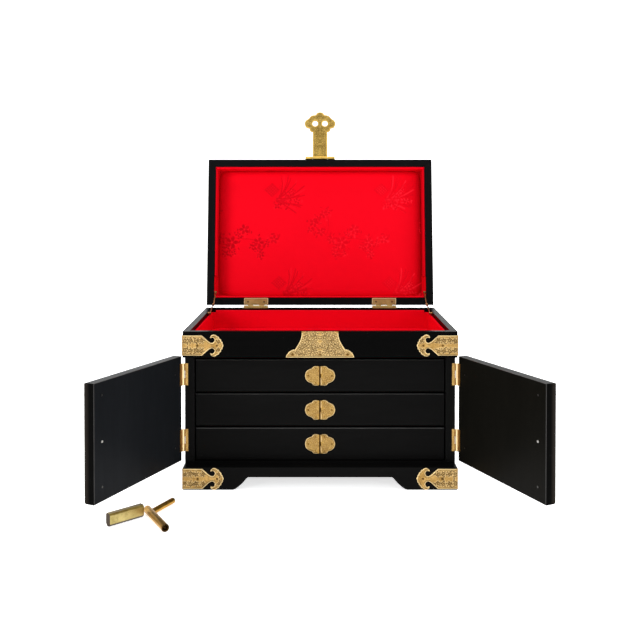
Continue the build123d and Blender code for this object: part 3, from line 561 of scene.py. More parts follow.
def plate(name, loop, place, thick=0.8, holes=(), seed=1, step=0.55, mirror=None, rim=0.75, spacing=6.4,
          dots=(), border=0.85, ground=2.6, bold=0.0, depth=1.0, material=None, two_sided=False, round_edge=0.35, engrave=True, keep_rim=lambda p: np.ones(len(p), bool)):
    """An engraved sheet-metal plate. loop is its outline in (u, v); place turns (u, v, height) into a row-frame point."""
    rnd = random.Random(seed * 7 + 3)
    ring = resample(loop, step)
    hrings = [resample(h, step) for h in holes]
    a = np.asarray(ring)
    lo, hi = a.min(axis=0), a.max(axis=0)
    us = np.arange(lo[0] + step * 0.5, hi[0], step)
    vs = np.arange(lo[1] + step * 0.5, hi[1], step * 0.866)
    gu, gv = np.meshgrid(us, vs)
    gu = gu + (np.arange(len(vs)) % 2)[:, None] * step * 0.5
    g = np.column_stack([gu.ravel(), gv.ravel()])
    ok = inside(g, ring)
    g = g[ok]
    d = seg_dist(g, ring)
    for h in hrings:
        m = ~inside(g, h)
        g, d = g[m], d[m]
        d = np.minimum(d, seg_dist(g, h))
    g = g[d > step * 0.45]
    verts = [Vector(p) for p in ring]
    edges = [(i, (i + 1) % len(ring)) for i in range(len(ring))]
    base = len(verts)
    for h in hrings:
        verts += [Vector(p) for p in h]
        edges += [(base + i, base + (i + 1) % len(h)) for i in range(len(h))]
        base = len(verts)
    nb = len(verts)
    verts += [Vector(p) for p in g]
    out_v, out_e, out_f, ov, oe, of_ = delaunay_2d_cdt(verts, edges, [], 0, 1e-4)
    pts = np.array([(v.x, v.y) for v in out_v])
    tri = [f for f in out_f]
    cen = np.array([pts[list(f)].mean(axis=0) for f in tri])
    good = inside(cen, ring)
    for h in hrings:
        good &= ~inside(cen, h)
    tri = [f for f, k in zip(tri, good) if k]
    dist = seg_dist(pts, ring)
    for h in hrings:
        dist = np.minimum(dist, seg_dist(pts, h))
    kr = keep_rim(pts)
    # height over the plate's plane
    h0 = np.full(len(pts), thick)
    bead = np.exp(-((dist - rim) / 0.5) ** 2) * 0.22
    bead = np.where(kr, bead, 0)
    # 'hi' paints the rim and the ridges beside the engraved lines paler: burnish and a painted highlight
    hi = np.where(kr, smoothstep(border + 0.55, border - 0.15, dist), 0.0)
    edge = (1 - np.sqrt(np.clip(1 - (1 - np.clip(dist / round_edge, 0, 1)) ** 2, 0, 1))) * min(round_edge, thick * 0.7)
    edge = np.where(kr, edge, 0)
    field = smoothstep(rim + 0.35, rim + 0.9, np.where(kr, dist, 9.0))
    cut = np.zeros(len(pts))
    if engrave:
        for pl, w in scrolls(loop, holes, seed, spacing, mirror):
            q = np.asarray(pl)
            lo2, hi2 = q.min(axis=0) - 1.2, q.max(axis=0) + 1.2
            near = np.where((pts[:, 0] > lo2[0]) & (pts[:, 0] < hi2[0]) & (pts[:, 1] > lo2[1]) & (pts[:, 1] < hi2[1]))[0]
            if len(near) == 0:
                continue
            dd = seg_dist(pts[near], pl, closed=False)
            cut[near] = np.maximum(cut[near], np.exp(-(dd / (w + 0.12 + bold)) ** 2))
            ridge = np.exp(-((dd - w - bold - 0.55) / 0.36) ** 2) * 0.60
            hi[near] = np.maximum(hi[near], ridge * depth * (cut[near] < 0.5))
        # punched ground between the tendrils
        top_r = a.max(axis=0)
        k = int((top_r[0] - lo[0]) * (top_r[1] - lo[1]) / ground)
        pd = np.array([(rnd.uniform(lo[0], top_r[0]), rnd.uniform(lo[1], top_r[1])) for _ in range(k)])
        for q in pd:
            near = np.where((np.abs(pts[:, 0] - q[0]) < 0.9) & (np.abs(pts[:, 1] - q[1]) < 0.9))[0]
            if len(near):
                dd = np.hypot(pts[near, 0] - q[0], pts[near, 1] - q[1])
                cut[near] = np.maximum(cut[near], 0.62 * np.exp(-(dd / 0.36) ** 2))
    cut *= field * depth
    groove = np.exp(-((dist - rim - 0.95) / 0.34) ** 2) * 0.55
    groove = np.where(kr, groove, 0)
    cut = np.maximum(cut, groove)
    for (u, v, r) in dots:            # nails and dimples: dark ring round a small dome
        dd = np.hypot(pts[:, 0] - u, pts[:, 1] - v)
        cut = np.where(dd < r * 1.7, np.maximum(cut * (dd > r * 1.4), smoothstep(r * 1.55, r * 1.1, dd)), cut)
        hi = np.where(dd < r * 1.7, 0, hi)
        h0 = h0 + np.where(dd < r, 0.40 * np.sqrt(np.clip(1 - (dd / r) ** 2, 0, 1)), 0)
    top = h0 + bead - edge - 0.40 * cut * (thick >= 0.7) - 0.2 * cut * (thick < 0.7)
    top = np.minimum(top, np.where(h0 > thick + 1e-6, thick + 0.45, thick + 0.0 + 0.22))
    n = len(pts)
    vv = [place(p[0], p[1], t) for p, t in zip(pts, top)]
    ff = list(tri)
    cav = list(np.clip(cut * 1.10, 0, 1))
    hil = list(np.clip(hi, 0, 1))
    # which CDT vertices are on the outline, in order
    orig = {}
    for i, srcs in enumerate(ov):
        for s in srcs:
            orig[s] = i
    if two_sided:
        back = n
        vv += [place(p[0], p[1], thick - t) for p, t in zip(pts, top)]
        cav += cav
        hil += hil
        ff += [tuple(reversed([i + back for i in f])) for f in tri]
        low = {i: i + back for i in range(n)}
    else:
        low = {}
        for s in range(nb):
            i = orig[s]
            if i not in low:
                low[i] = len(vv)
                vv.append(place(pts[i][0], pts[i][1], 0.0))
                cav.append(0.3)
                hil.append(0.0)
    for a_, b_ in edges:
        i, j = orig[a_], orig[b_]
        if i != j:
            ff.append((i, j, low[j], low[i]))
    return new_obj(name, vv, ff, material or BRASS, 40.0, {"cav": cav, "hi": hil})


# ------------------------------------------------------------------ wooden boards: CAD nodes with eased edges
for n, mat_, wd in (
    ("plinth_boards", LACQ_X, 0.7), ("carcass_floor_board", LACQ_X, 0.4), ("carcass_left_side", LACQ_Z, 0.6),
    ("carcass_right_side", LACQ_Z, 0.6), ("carcass_back_panel", LACQ_X, 0.3), ("tray_front_wall", TRAY_X, 0.8),
    ("tray_back_wall", TRAY_X, 0.8), ("tray_left_wall", TRAY_Y, 0.8), ("tray_right_wall", TRAY_Y, 0.8),
    ("tray_floor_board", INSIDE, 0.2), ("dust_boards", INSIDE, 0.3), ("lid_front_wall", LID_X, 0.7),
    ("lid_back_wall", LID_X, 0.7), ("lid_side_walls", LID_Z, 0.7), ("lid_top_panel", LID_X, 0.5),
    ("left_door_panel", DOOR_L_SHEEN, 0.3), ("right_door_panel", DOOR_R, 0.3),
    ("drawer_bottom_front", LACQ_X, 0.3), ("drawer_middle_front", LACQ_X, 0.3), ("drawer_top_front", LACQ_X, 0.3),
    ("drawer_bottom_box", INSIDE, 0.4), ("drawer_middle_box", INSIDE, 0.4), ("drawer_top_box", INSIDE, 0.4),
):
    o = paint(N[n], mat_)
    if "door_panel" in n:
        # the small rounding round the inner face gets a painted highlight, the free edge gets painted shade and its
        # outer rounding a paler painted highlight
        for mat_ in (DOOR_INNER_HIGHLIGHT, DOOR_EDGE_PAINTED, DOOR_OUTER_HIGHLIGHT):
            o.data.materials.append(mat_)
        back = Matrix.Rotation(math.radians(DOOR_OPEN if "left" in n else -DOOR_OPEN), 3, "Z")
        across = [(back @ v.co).y for v in o.data.vertices]
        edge_painted_light = o.data.attributes.new("edge_painted_light", "FLOAT", "POINT")
        for item, y in zip(edge_painted_light.data, across):
            item.value = (max(across) - y) / (max(across) - min(across))
        for poly in o.data.polygons:
            q = back @ poly.normal
            free = q.x * (1 if "left" in n else -1)
            if 0.18 < q.y < 0.97:
                poly.material_index = 1
            elif free > 0.92:
                poly.material_index = 2
            elif free > 0.25 and q.y < 0:
                poly.material_index = 3
        shade(o, 35.0)
    elif n == "lid_top_panel":
        shade(o, 35.0)
    elif n.endswith("_front"):
        # chamfered drawer fronts: the upper chamfer gets a painted highlight, the others and the faces in the gaps get
        # painted shade
        o.data.materials.append(TOP_EDGE_HIGHLIGHT)
        o.data.materials.append(TRAY_X)
        for poly in o.data.polygons:
            if -0.95 < poly.normal.y < -0.2:
                poly.material_index = 1 if poly.normal.z > 0.2 else 2
            elif abs(poly.normal.z) > 0.9 or abs(poly.normal.x) > 0.9:
                poly.material_index = 2
        soften(o, wd, 2)
        shade(o, 35.0)
    else:
        # the bevels of the plinth and tray walls get the paler edge lacquer: wear and painted highlight
        soften(o, wd, 3, edge=None if mat_ == INSIDE or n.startswith(("carcass", "lid")) else EDGE_WEAR_HIGHLIGHT)
        shade(o, 35.0)

for n in N:
    if "door_hinge" in n:
        shade(paint(N[n], HINGE), 35.0)
    elif "rivets" in n:
        shade(paint(N[n], STEEL), 35.0)
    elif "lid" in n and "hinge" in n:
        shade(paint(N[n], BRASS_L), 35.0)
    elif "hasp" in n:
        shade(paint(N[n], BRASS_S), 35.0)
    elif "hinge" in n or n in ("left_door_eye", "right_door_eye"):
        shade(paint(N[n], BRASS), 35.0)
    elif n == "plate_nails":
        shade(paint(N[n], BRASS_D), 35.0)
    elif "stay" in n:
        shade(paint(N[n], COPPER), 35.0)
# the padlock's block: painted shade on its upper and lower faces and its ends, a painted highlight along its edges
o = paint(N["padlock_body"], BRASS_B)
for mat_ in (BRASS_TOP_SHADE, BRASS_E):
    o.data.materials.append(mat_)
bar_dir = Vector((math.cos(math.radians(43.0)), math.sin(math.radians(43.0)), 0.0))
for poly in o.data.polygons:
    if abs(poly.normal.dot(bar_dir)) > 0.6 or poly.normal.z < -0.3:
        poly.material_index = 2
    elif poly.normal.z > 0.3:
        poly.material_index = 1
soften(o, 0.62, 2, edge=BRASS_EDGE_HIGHLIGHT)
shade(o, 35.0)
o = paint(N["padlock_bolt"], BRASS_G)
o.data.materials.append(BRASS_E)
for ang in (-60.8, 64.4):                 # end faces and the bottoms of the slot lie in shade
    end = Vector((math.cos(math.radians(ang)), math.sin(math.radians(ang)), 0.0))
    for poly in o.data.polygons:
        if poly.normal.dot(end) > 0.95:
            poly.material_index = 1
soften(o, 0.35, 3)
shade(N["padlock_bolt"], 35.0)

# ------------------------------------------------------------------ corner plates, front and side leaf each
HALF = chain(
    [(0.0, 13.1), (25.0, 13.1)],
    smooth_pts([(25.0, 13.1), (29.2, 9.5), (33.0, 6.0), (36.0, 4.0), (38.2, 3.55), (40.3, 4.5), (41.4, 6.9),
                (40.8, 9.0), (39.2, 10.2), (37.5, 10.1), (36.3, 9.5)], 3),
    smooth_pts([(36.3, 9.5), (35.8, 10.6), (36.6, 12.5), (38.6, 13.9), (41.0, 14.2), (43.3, 13.4), (44.4, 12.3)], 3),
    smooth_pts([(44.4, 12.3), (46.4, 11.6), (47.5, 10.2), (47.7, 9.1)], 3),
    smooth_pts([(47.7, 9.1), (49.4, 8.2), (50.0, 6.7), (49.9, 5.7)], 3),
    smooth_pts([(49.9, 5.7), (51.5, 4.6), (51.9, 3.0), (51.7, 2.2)], 3),
    smooth_pts([(51.7, 2.2), (52.5, 1.3), (52.9, 0.0)], 2),
)
OUTLINE = HALF + [(x, -z) for x, z in reversed(HALF) if abs(z) > 1e-6]
Z_UP, Z_LOW = 187.8, 14.4
OUT_SHIFT = [((u - 0.8) if u == 0 else u, v) for u, v in OUTLINE]
for sx, side in ((-1, "left"), (1, "right")):
    for zc, level in ((Z_UP, "upper"), (Z_LOW, "lower")):
        seed = 11 + (sx > 0) + 2 * (zc < 50)
        dots = [(19.2, 0.0, 1.15), (44.4, 0.0, 0.95)]
        f = plate("plate_%s_%s_front" % (level, side), OUT_SHIFT,
                  lambda u, v, h, sx=sx, zc=zc: P(sx * (W / 2 - u), -h, zc + v), seed=seed, mirror=1, dots=dots, bold=0.20, spacing=7.4, ground=3.4,
                  keep_rim=lambda p: p[:, 0] > 0.6)
        s = plate("plate_%s_%s_side" % (level, side), OUT_SHIFT,
                  lambda u, v, h, sx=sx, zc=zc: P(sx * (W / 2 + h), u, zc + v), seed=seed, mirror=1, dots=dots, bold=0.20, spacing=7.4, ground=3.4,
                  keep_rim=lambda p: p[:, 0] > 0.6)
        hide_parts("corner_plate_%s_%s" % (level, side))
        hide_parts("corner_plate_%s_%s" % (level, side))
        for o in (f, s):
            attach(o, "chest")

# ------------------------------------------------------------------ bell shaped lock plate
BELL = chain(
    smooth_pts([(23.8, 206.0), (23.9, 201.8), (24.8, 196.8), (27.4, 191.0), (30.1, 186.4), (32.4, 182.9)], 4),
    smooth_pts([(32.4, 182.9), (36.6, 182.0), (40.4, 179.4), (43.2, 176.0), (44.3, 172.3)], 4),
)
bell_loop = mirror_half([(0.0, 206.0)] + BELL + [(0.0, 172.3)])
bell_dots = [(35.6, 176.4, 1.1), (-35.6, 176.4, 1.1), (0, 176.0, 0.9)]
o = plate("lock_plate_bell", bell_loop, lambda u, v, h: P(u, -h, v), seed=21, mirror=0, dots=bell_dots,
          keep_rim=lambda p: p[:, 1] < 204.6, spacing=5.6)
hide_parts("front_lock_plate")
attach(o, "chest")

# ------------------------------------------------------------------ drawer pulls
PULL_HALF = chain(
    [(0.9, 12.2)],
    smooth_pts([(0.9, 12.2), (3.9, 12.9), (7.2, 13.1), (9.3, 12.0), (10.6, 10.2)], 4),
    smooth_pts([(10.6, 10.2), (13.4, 9.2), (16.6, 7.5), (19.0, 4.6), (20.2, 0.0)], 4),
)
PULL = PULL_HALF + [(x, -z) for x, z in reversed(PULL_HALF) if abs(z) > 1e-6]


def tube_x(path, radius, name, material, sides=12, caps=True):
    """A round bar along a list of row-frame points."""
    verts, faces = [], []
    m = len(path)
    for i, p in enumerate(path):
        d = (path[min(i + 1, m - 1)] - path[max(i - 1, 0)]).normalized()
        a = d.orthogonal().normalized() if i == 0 else (a - d * a.dot(d)).normalized()
        b = d.cross(a)
        r = radius[i] if hasattr(radius, "__len__") else radius
        for k in range(sides):
            t = 2 * math.pi * k / sides
            verts.append(p + (a * math.cos(t) + b * math.sin(t)) * r)
    for i in range(m - 1):
        for k in range(sides):
            j = (k + 1) % sides
            faces.append((i * sides + k, i * sides + j, (i + 1) * sides + j, (i + 1) * sides + k))
    if caps:
        faces.append(tuple(range(sides))[::-1])
        faces.append(tuple((m - 1) * sides + k for k in range(sides)))
    return new_obj(name, verts, faces, material, 40.0, {"cav": [0.0] * len(verts)})


for name, z0 in zip(("bottom", "middle", "top"), DR_Z0):
    zc = z0 + DR_H / 2 + 0.2
    made = []
    for sgn, tag in ((-1, "left"), (1, "right")):
        x_in = 1.35 if sgn < 0 else 0.45
        inner = [(x_in, -12.2), (x_in, 12.2)] if sgn < 0 else [
            (x_in, -12.2), (x_in, -3.0), (x_in + 0.9, -2.2), (x_in + 0.9, 2.2), (x_in, 3.0), (x_in, 12.2)]
        loop = [(u * sgn, v) for u, v in inner + PULL[1:-1]]
        if sgn < 0:
            loop = list(reversed(loop))
        o = plate("pull_%s_%s" % (name, tag), loop, lambda u, v, h, zc=zc: P(u, DR_Y - h, zc + v), thick=1.0,
                  seed=31 + (sgn > 0) + 3 * int(z0), dots=[(sgn * 15.6, 0.0, 0.8), (sgn * 5.6, -9.4, 0.5), (sgn * 6.0, 9.4, 0.5)],
                  spacing=5.4, step=0.45, keep_rim=lambda p: np.abs(p[:, 0]) > 3.4, rim=0.7, border=0.95, depth=0.5, ground=4.0,
                   material=BRASS_P)
        made.append(o)
    # the grip bars use the paler brass: painted highlight
    bars = []
    for a_, b_ in ((-12.4, -3.1), (3.1, 12.4)):
        k = 14
        path, rad = [], []
        for i in range(k + 1):
            t = i / k
            z = a_ + (b_ - a_) * t
            e = min(t, 1 - t) * k / 2
            rad.append((0.66 + 0.40 * min(1.0, e)) / 1000)
            path.append(P(1.55, DR_Y - 1.75, zc + z))
        bars.append(tube_x(path, rad, "pull_%s_grip_%d" % (name, a_ > 0), BRASS_GRIP_HIGHLIGHT))
    # the dark joint between the two leaves, with its recess in the middle
    vs, fs = [], []
    rings = []
    for z in (-12.0, -3.4, -2.4, 0.0, 2.4, 3.4, 12.0):
        wide = abs(z) < 2.9
        x0, x1, lift = -1.5, (1.5 if wide else 0.65), (0.25 if wide else 0.55)
        rings.append(len(vs))
        vs += [P(x0, DR_Y - 0.05, zc + z), P(x1, DR_Y - 0.05, zc + z), P(x1, DR_Y - lift, zc + z), P(x0, DR_Y - lift, zc + z)]
    for r0_, r1_ in zip(rings, rings[1:]):
        for i in range(4):
            j = (i + 1) % 4
            fs.append((r0_ + i, r0_ + j, r1_ + j, r1_ + i))
    fs += [(0, 1, 2, 3), tuple(rings[-1] + i for i in (3, 2, 1, 0))]
    cav = [c for z in (-12.0, -3.4, -2.4, 0.0, 2.4, 3.4, 12.0) for c in [1.0 if abs(z) < 2.9 else 0.55] * 4]
    made += bars + [new_obj("pull_%s_joint" % name, vs, fs, BRASS_D, 30.0, {"cav": cav})]
    for o in made:
        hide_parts("drawer_%s_pull" % name)
        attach(o, "drawer_%s" % name)

# ------------------------------------------------------------------ lid hinges: the leaves on the lid
LH_CUTS = (-18.8, -13.0, -4.4, 4.4, 13.0, 18.8)
for sx, side in ((-1, "left"), (1, "right")):
    xc = sx * 100.4
    tongue = []
    for k in (1, 3):
        tongue += [(LH_CUTS[k] + 0.15, D - 0.3), (LH_CUTS[k] + 0.15, D + 1.6), (LH_CUTS[k + 1] - 0.15, D + 1.6), (LH_CUTS[k + 1] - 0.15, D - 0.3)]
    loop = [(-18.8, D - 11.0), (-18.8, D - 0.3)] + tongue + [(18.8, D - 0.3), (18.8, D - 11.0)]
    o = plate("lid_hinge_leaf_%s" % side, loop, lambda u, v, h, xc=xc: LID_M @ P(xc + u, v, Z_LID - h), thick=0.6, seed=61 + sx,
              step=0.6, dots=[(-12.6, D - 5.2, 1.25), (12.6, D - 5.2, 1.25)], engrave=False, border=0.9,
              keep_rim=lambda p: (p[:, 1] < D - 1.6), material=BRASS_L)
    made = [o]
    for k in (1, 3):
        a_, b_ = LH_CUTS[k] + 0.15, LH_CUTS[k + 1] - 0.15
        path = [LID_M @ P(xc + a_ + (b_ - a_) * i / 6, LID_PY, LID_PZ) for i in range(7)]
        rad = [2.0 / 1000] + [2.2 / 1000] * 5 + [2.0 / 1000]
        made.append(tube_x(path, rad, "lid_hinge_barrel_%s_%d" % (side, k), BRASS_L, sides=20))
    for o in made:
        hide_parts("lid_hinge_lid_leaves")
        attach(o, "lid")

# ------------------------------------------------------------------ hasp strap
HASP = chain(
    [(0.0, 1.6), (11.7, 1.6), (11.7, 43.6)],
    smooth_pts([(11.7, 43.6), (13.4, 43.7), (15.6, 45.0), (16.9, 47.4), (16.6, 49.6)], 3),
    smooth_pts([(16.6, 49.6), (19.4, 49.9), (22.6, 51.6), (24.4, 55.0), (24.8, 58.8), (22.8, 63.2), (17.9, 66.6)], 4),
    smooth_pts([(17.9, 66.6), (16.4, 69.2), (13.2, 71.6), (9.4, 72.4), (7.0, 72.4)], 3),
    smooth_pts([(7.0, 72.4), (5.4, 75.4), (2.6, 77.0), (0.0, 77.5)], 3),
)
hasp_loop = mirror_half(HASP)
holes = []
for sx in (-1, 1):
    holes.append([(sx * HOLE_X + HOLE_D / 2 * math.cos(2 * math.pi * k / 28), HOLE_S + HOLE_D / 2 * math.sin(2 * math.pi * k / 28)) for k in range(28)])
strap = plate("hasp_strap_engraved", hasp_loop,
              lambda u, v, h: HASP_M @ P(u, HASP_Y + HASP_T / 2 - h, HASP_Z - v), thick=HASP_T, holes=holes, seed=41, mirror=0,
              two_sided=True, spacing=5.8, step=0.6, round_edge=0.6, rim=1.1, border=0.5, depth=0.95, material=BRASS_S,
              keep_rim=lambda p: p[:, 1] > 3.2)
bar = []
k = 20
for i in range(k + 1):
    bar.append(HASP_M @ P(-11.7 + 23.4 * i / k, HASP_Y, HASP_Z))
knuckle = tube_x(bar, 2.6 / 1000, "hasp_knuckle", BRASS_S, sides=24)
# the strap's edge faces get the darker brass: painted shade
strap.data.materials.append(BRASS_E)
hasp_normal = (HASP_M.to_3x3() @ Vector((0.0, 1.0, 0.0))).normalized()
for poly in strap.data.polygons:
    if abs(poly.normal.dot(hasp_normal)) < 0.3:
        poly.material_index = 1
for o in (strap, knuckle):
    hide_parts("hasp_strap")
    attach(o, "hasp")

# ------------------------------------------------------------------ half round plates outside the doors
DZ0, DZ1 = Z_BASE + 4.0, Z_SEC - 1.2
MOON_R = 61.0
EYE_X, EYE_Y, EYE_Z = HOLE_X, -1.3, HASP_Z - HOLE_S
zm = (DZ0 + DZ1) / 2
MOON = [(7.2, math.sqrt(MOON_R ** 2 - 7.2 ** 2))]
MOON += [(MOON_R * math.sin(math.radians(k)), MOON_R * math.cos(math.radians(k))) for k in range(10, 88, 4)] + [(MOON_R, 0.0)]
dloop = MOON + [(x, -z) for x, z in reversed(MOON) if abs(z) > 1e-6]
for sx, side in ((-1, "left"), (1, "right")):
    o = plate("door_plate_%s" % side, dloop,
              lambda u, v, h, sx=sx: DOOR_M[sx] @ P(sx * u, DOOR_Y0 - h, zm + v), seed=51, mirror=1,
              dots=[(14.6, 44.1, 1.1), (14.6, 0.0, 1.1), (14.6, -52.1, 1.1)], step=0.8, spacing=7.2, bold=0.15)
    path = [DOOR_M[sx] @ P(sx * EYE_X, EYE_Y, EYE_Z - 2.2 + 4.4 * i / 6) for i in range(7)]
    barrel = tube_x(path, [0.95 / 1000] + [1.1 / 1000] * 5 + [0.95 / 1000], "door_eye_barrel_%s" % side, BRASS, sides=16)
    vs = [DOOR_M[sx] @ P(sx * x, y, z) for z in (EYE_Z - 2.2, EYE_Z + 2.2) for x, y in (
        (EYE_X - 0.8, EYE_Y), (EYE_X + 0.8, EYE_Y), (EYE_X + 1.1, DOOR_Y0 - 0.5), (EYE_X - 1.1, DOOR_Y0 - 0.5))]
    web = new_obj("door_eye_web_%s" % side, vs, [(0, 1, 2, 3), (4, 5, 6, 7), (0, 1, 5, 4), (1, 2, 6, 5), (2, 3, 7, 6), (3, 0, 4, 7)],
                  BRASS, 30.0, {"cav": [0.2] * 8})
    for o in (o, barrel, web):
        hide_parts("%s_door_lock_plate" % side)
        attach(o, "%s_door" % side)

# ------------------------------------------------------------------ brocade pattern
def leaf(pts, base, tip, width):
    """1 on a pointed leaf from base to tip."""
    b, t = np.asarray(base), np.asarray(tip)
    d = t - b
    L = math.hypot(*d)
    u = d / L
    q = pts - b
    x = q @ u
    y = q @ np.array([-u[1], u[0]])
    s = np.clip(x / L, 0, 1)
    w = width * np.sin(math.pi * s) ** 0.8
    vein = np.abs(y) < 0.18
    on = smoothstep(0.25, -0.15, np.abs(y) - w) * (x > 0) * (x < L)
    return on * np.where(vein, 0.35, 1.0)


def strokes(pts, line, width):
    return smoothstep(width, width * 0.35, seg_dist(pts, line, closed=False))


def spray(kind, seed):
    """Pieces of one motif round (0, 0), each a (centre, radius, function, raised)."""
    rnd = random.Random(seed)
    out = []

    def blob(cx, cy, a, b, ang, k=1.0, raised=False):
        ca, sa = math.cos(ang), math.sin(ang)

        def f(p):
            q = p - np.array([cx, cy])
            x, y = q[:, 0] * ca + q[:, 1] * sa, -q[:, 0] * sa + q[:, 1] * ca
            return k * smoothstep(1.25, 0.70, np.hypot(x / a, y / b))
        out.append(((cx, cy), max(a, b) * 1.3, f, raised))

    def bloom(cx, cy, r):
        rot = rnd.uniform(0, 6)
        n = 5 if r > 5.5 else 4
        for i in range(n):
            t = rot + 2 * math.pi * i / n
            blob(cx + 0.58 * r * math.cos(t), cy + 0.58 * r * math.sin(t), 0.40 * r, 0.27 * r, t, rnd.uniform(0.65, 1.0))
            t2 = t + math.pi / n
            blob(cx + 0.60 * r * math.cos(t2), cy + 0.60 * r * math.sin(t2), 0.30 * r, 0.10 * r, t2, 0.9, True)
        blob(cx, cy, 0.17 * r, 0.17 * r, 0, 0.9, True)
        for _ in range(int(3 + r * 0.5)):
            t, d = rnd.uniform(0, 6.28), r * rnd.uniform(1.0, 1.55)
            blob(cx + d * math.cos(t), cy + d * math.sin(t), rnd.uniform(1.6, 3.2), rnd.uniform(0.8, 1.4), rnd.uniform(0, 3.1),
                 rnd.uniform(0.55, 1.0), rnd.random() < 0.35)

    def twig(a, b, bend, w=0.9, raised=False, k=0.85):
        mx, my = (a[0] + b[0]) / 2 - (b[1] - a[1]) * bend, (a[1] + b[1]) / 2 + (b[0] - a[0]) * bend
        line = [((1 - t) ** 2 * a[0] + 2 * t * (1 - t) * mx + t * t * b[0], (1 - t) ** 2 * a[1] + 2 * t * (1 - t) * my + t * t * b[1])
                for t in [i / 9 for i in range(10)]]
        c = ((a[0] + b[0]) / 2, (a[1] + b[1]) / 2)
        out.append((c, math.hypot(b[0] - a[0], b[1] - a[1]) * 0.75 + 3, lambda p: strokes(p, line, w) * k, raised))
        return line

    if kind == "plum":
        for x, y, r in ((-57, -19, 8.0), (-41, -33, 7.4), (-46, -4, 7.2), (-34, -37, 4.4), (-63, -8, 4.8), (-50, -26, 5.0), (-12, 13, 10.5),
                        (-29, 9, 7.0), (-22, 31, 6.2), (-19, 20, 5.0), (8, -8, 8.6), (-9, 30, 4.6), (31, 13, 9.0), (35, 32, 6.0),
                        (56, 8, 7.4), (45, 14, 4.6), (20, 20, 5.2), (-2, 0, 5.0), (30, 24, 4.4)):
            bloom(x, y, r)
        twig((-30, 6), (52, 13), -0.06, 0.8, False, 0.5)
        twig((-38, 2), (-36, -34), 0.2, 0.8, False, 0.5)
        twig((26, 14), (35, 38), -0.15, 0.8, False, 0.5)
    else:
        # a lozenge woven bloom with long grass blades
        out.append(((0, 0), 15, lambda p: np.exp(-((np.abs(p[:, 0]) * 0.9 + np.abs(p[:, 1]) - 10.4) / 1.1) ** 2) * 0.5, False))
        out.append(((0, 0), 15, lambda p: (np.abs(p[:, 0]) * 0.9 + np.abs(p[:, 1]) < 10) * (0.22 + 0.38 * (np.sin(p[:, 0] * 1.3) * np.sin(p[:, 1] * 1.3) > 0)), False))
        out.append(((0, 0), 15, lambda p: (np.abs(p[:, 0]) * 0.9 + np.abs(p[:, 1]) < 9) * (0.5 * (np.sin(p[:, 0] * 1.3) * np.sin(p[:, 1] * 1.3) < -0.2)), True))
        for i in range(15):
            a = math.radians(-80 + i * 8.0)
            L = 46 - 1.6 * abs(i - 6) + rnd.uniform(-7, 6)
            b = (10 + rnd.uniform(-4, 4), 17 + rnd.uniform(-3, 3))
            twig(b, (b[0] + L * math.cos(a), b[1] + L * math.sin(a)), 0.22 - 0.02 * i, 1.25, i % 3 == 1, 0.8)
        for x, y, r in ((16, 19, 7.0), (29, 12, 6.2), (8, 26, 5.4), (41, 18, 5.4), (24, 25, 5.0), (34, 2, 4.4), (20, 6, 4.2)):
            bloom(x, y, r)
    return out


SPRAYS = {"plum": spray("plum", 5), "fan": spray("fan", 9)}


def motif_at(u, v):
    """Pattern values at (u, v) millimetres: shaded threads and raised threads. It repeats 177 by 150."""
    p = np.column_stack([np.asarray(u, dtype=float), np.asarray(v, dtype=float)])
    val, lit = np.zeros(len(p)), np.zeros(len(p))
    lo, hi = p.min(axis=0), p.max(axis=0)
    cells = []
    for i in range(-3, 4):
        for j in range(-3, 4):
            cells.append(("plum", 47.0 + 177.0 * i, 118.0 + 150.0 * j))
            cells.append(("fan", -77.6 + 177.0 * i + 12.0 * j, 46.0 + 150.0 * j))
    for kind, cx, cy in cells:
        if cx + 80 < lo[0] or cx - 80 > hi[0] or cy + 60 < lo[1] or cy - 60 > hi[1]:
            continue
        for c, R, f, raised in SPRAYS[kind]:
            gx, gy = cx + c[0], cy + c[1]
            near = np.where((np.abs(p[:, 0] - gx) < R) & (np.abs(p[:, 1] - gy) < R))[0]
            if len(near):
                q = f(p[near] - np.array([cx, cy]))
                if raised:
                    lit[near] = np.maximum(lit[near], q)
                else:
                    val[near] = np.maximum(val[near], q)
    return np.clip(val, 0, 1), np.clip(lit, 0, 1) * (1 - np.clip(val, 0, 1))


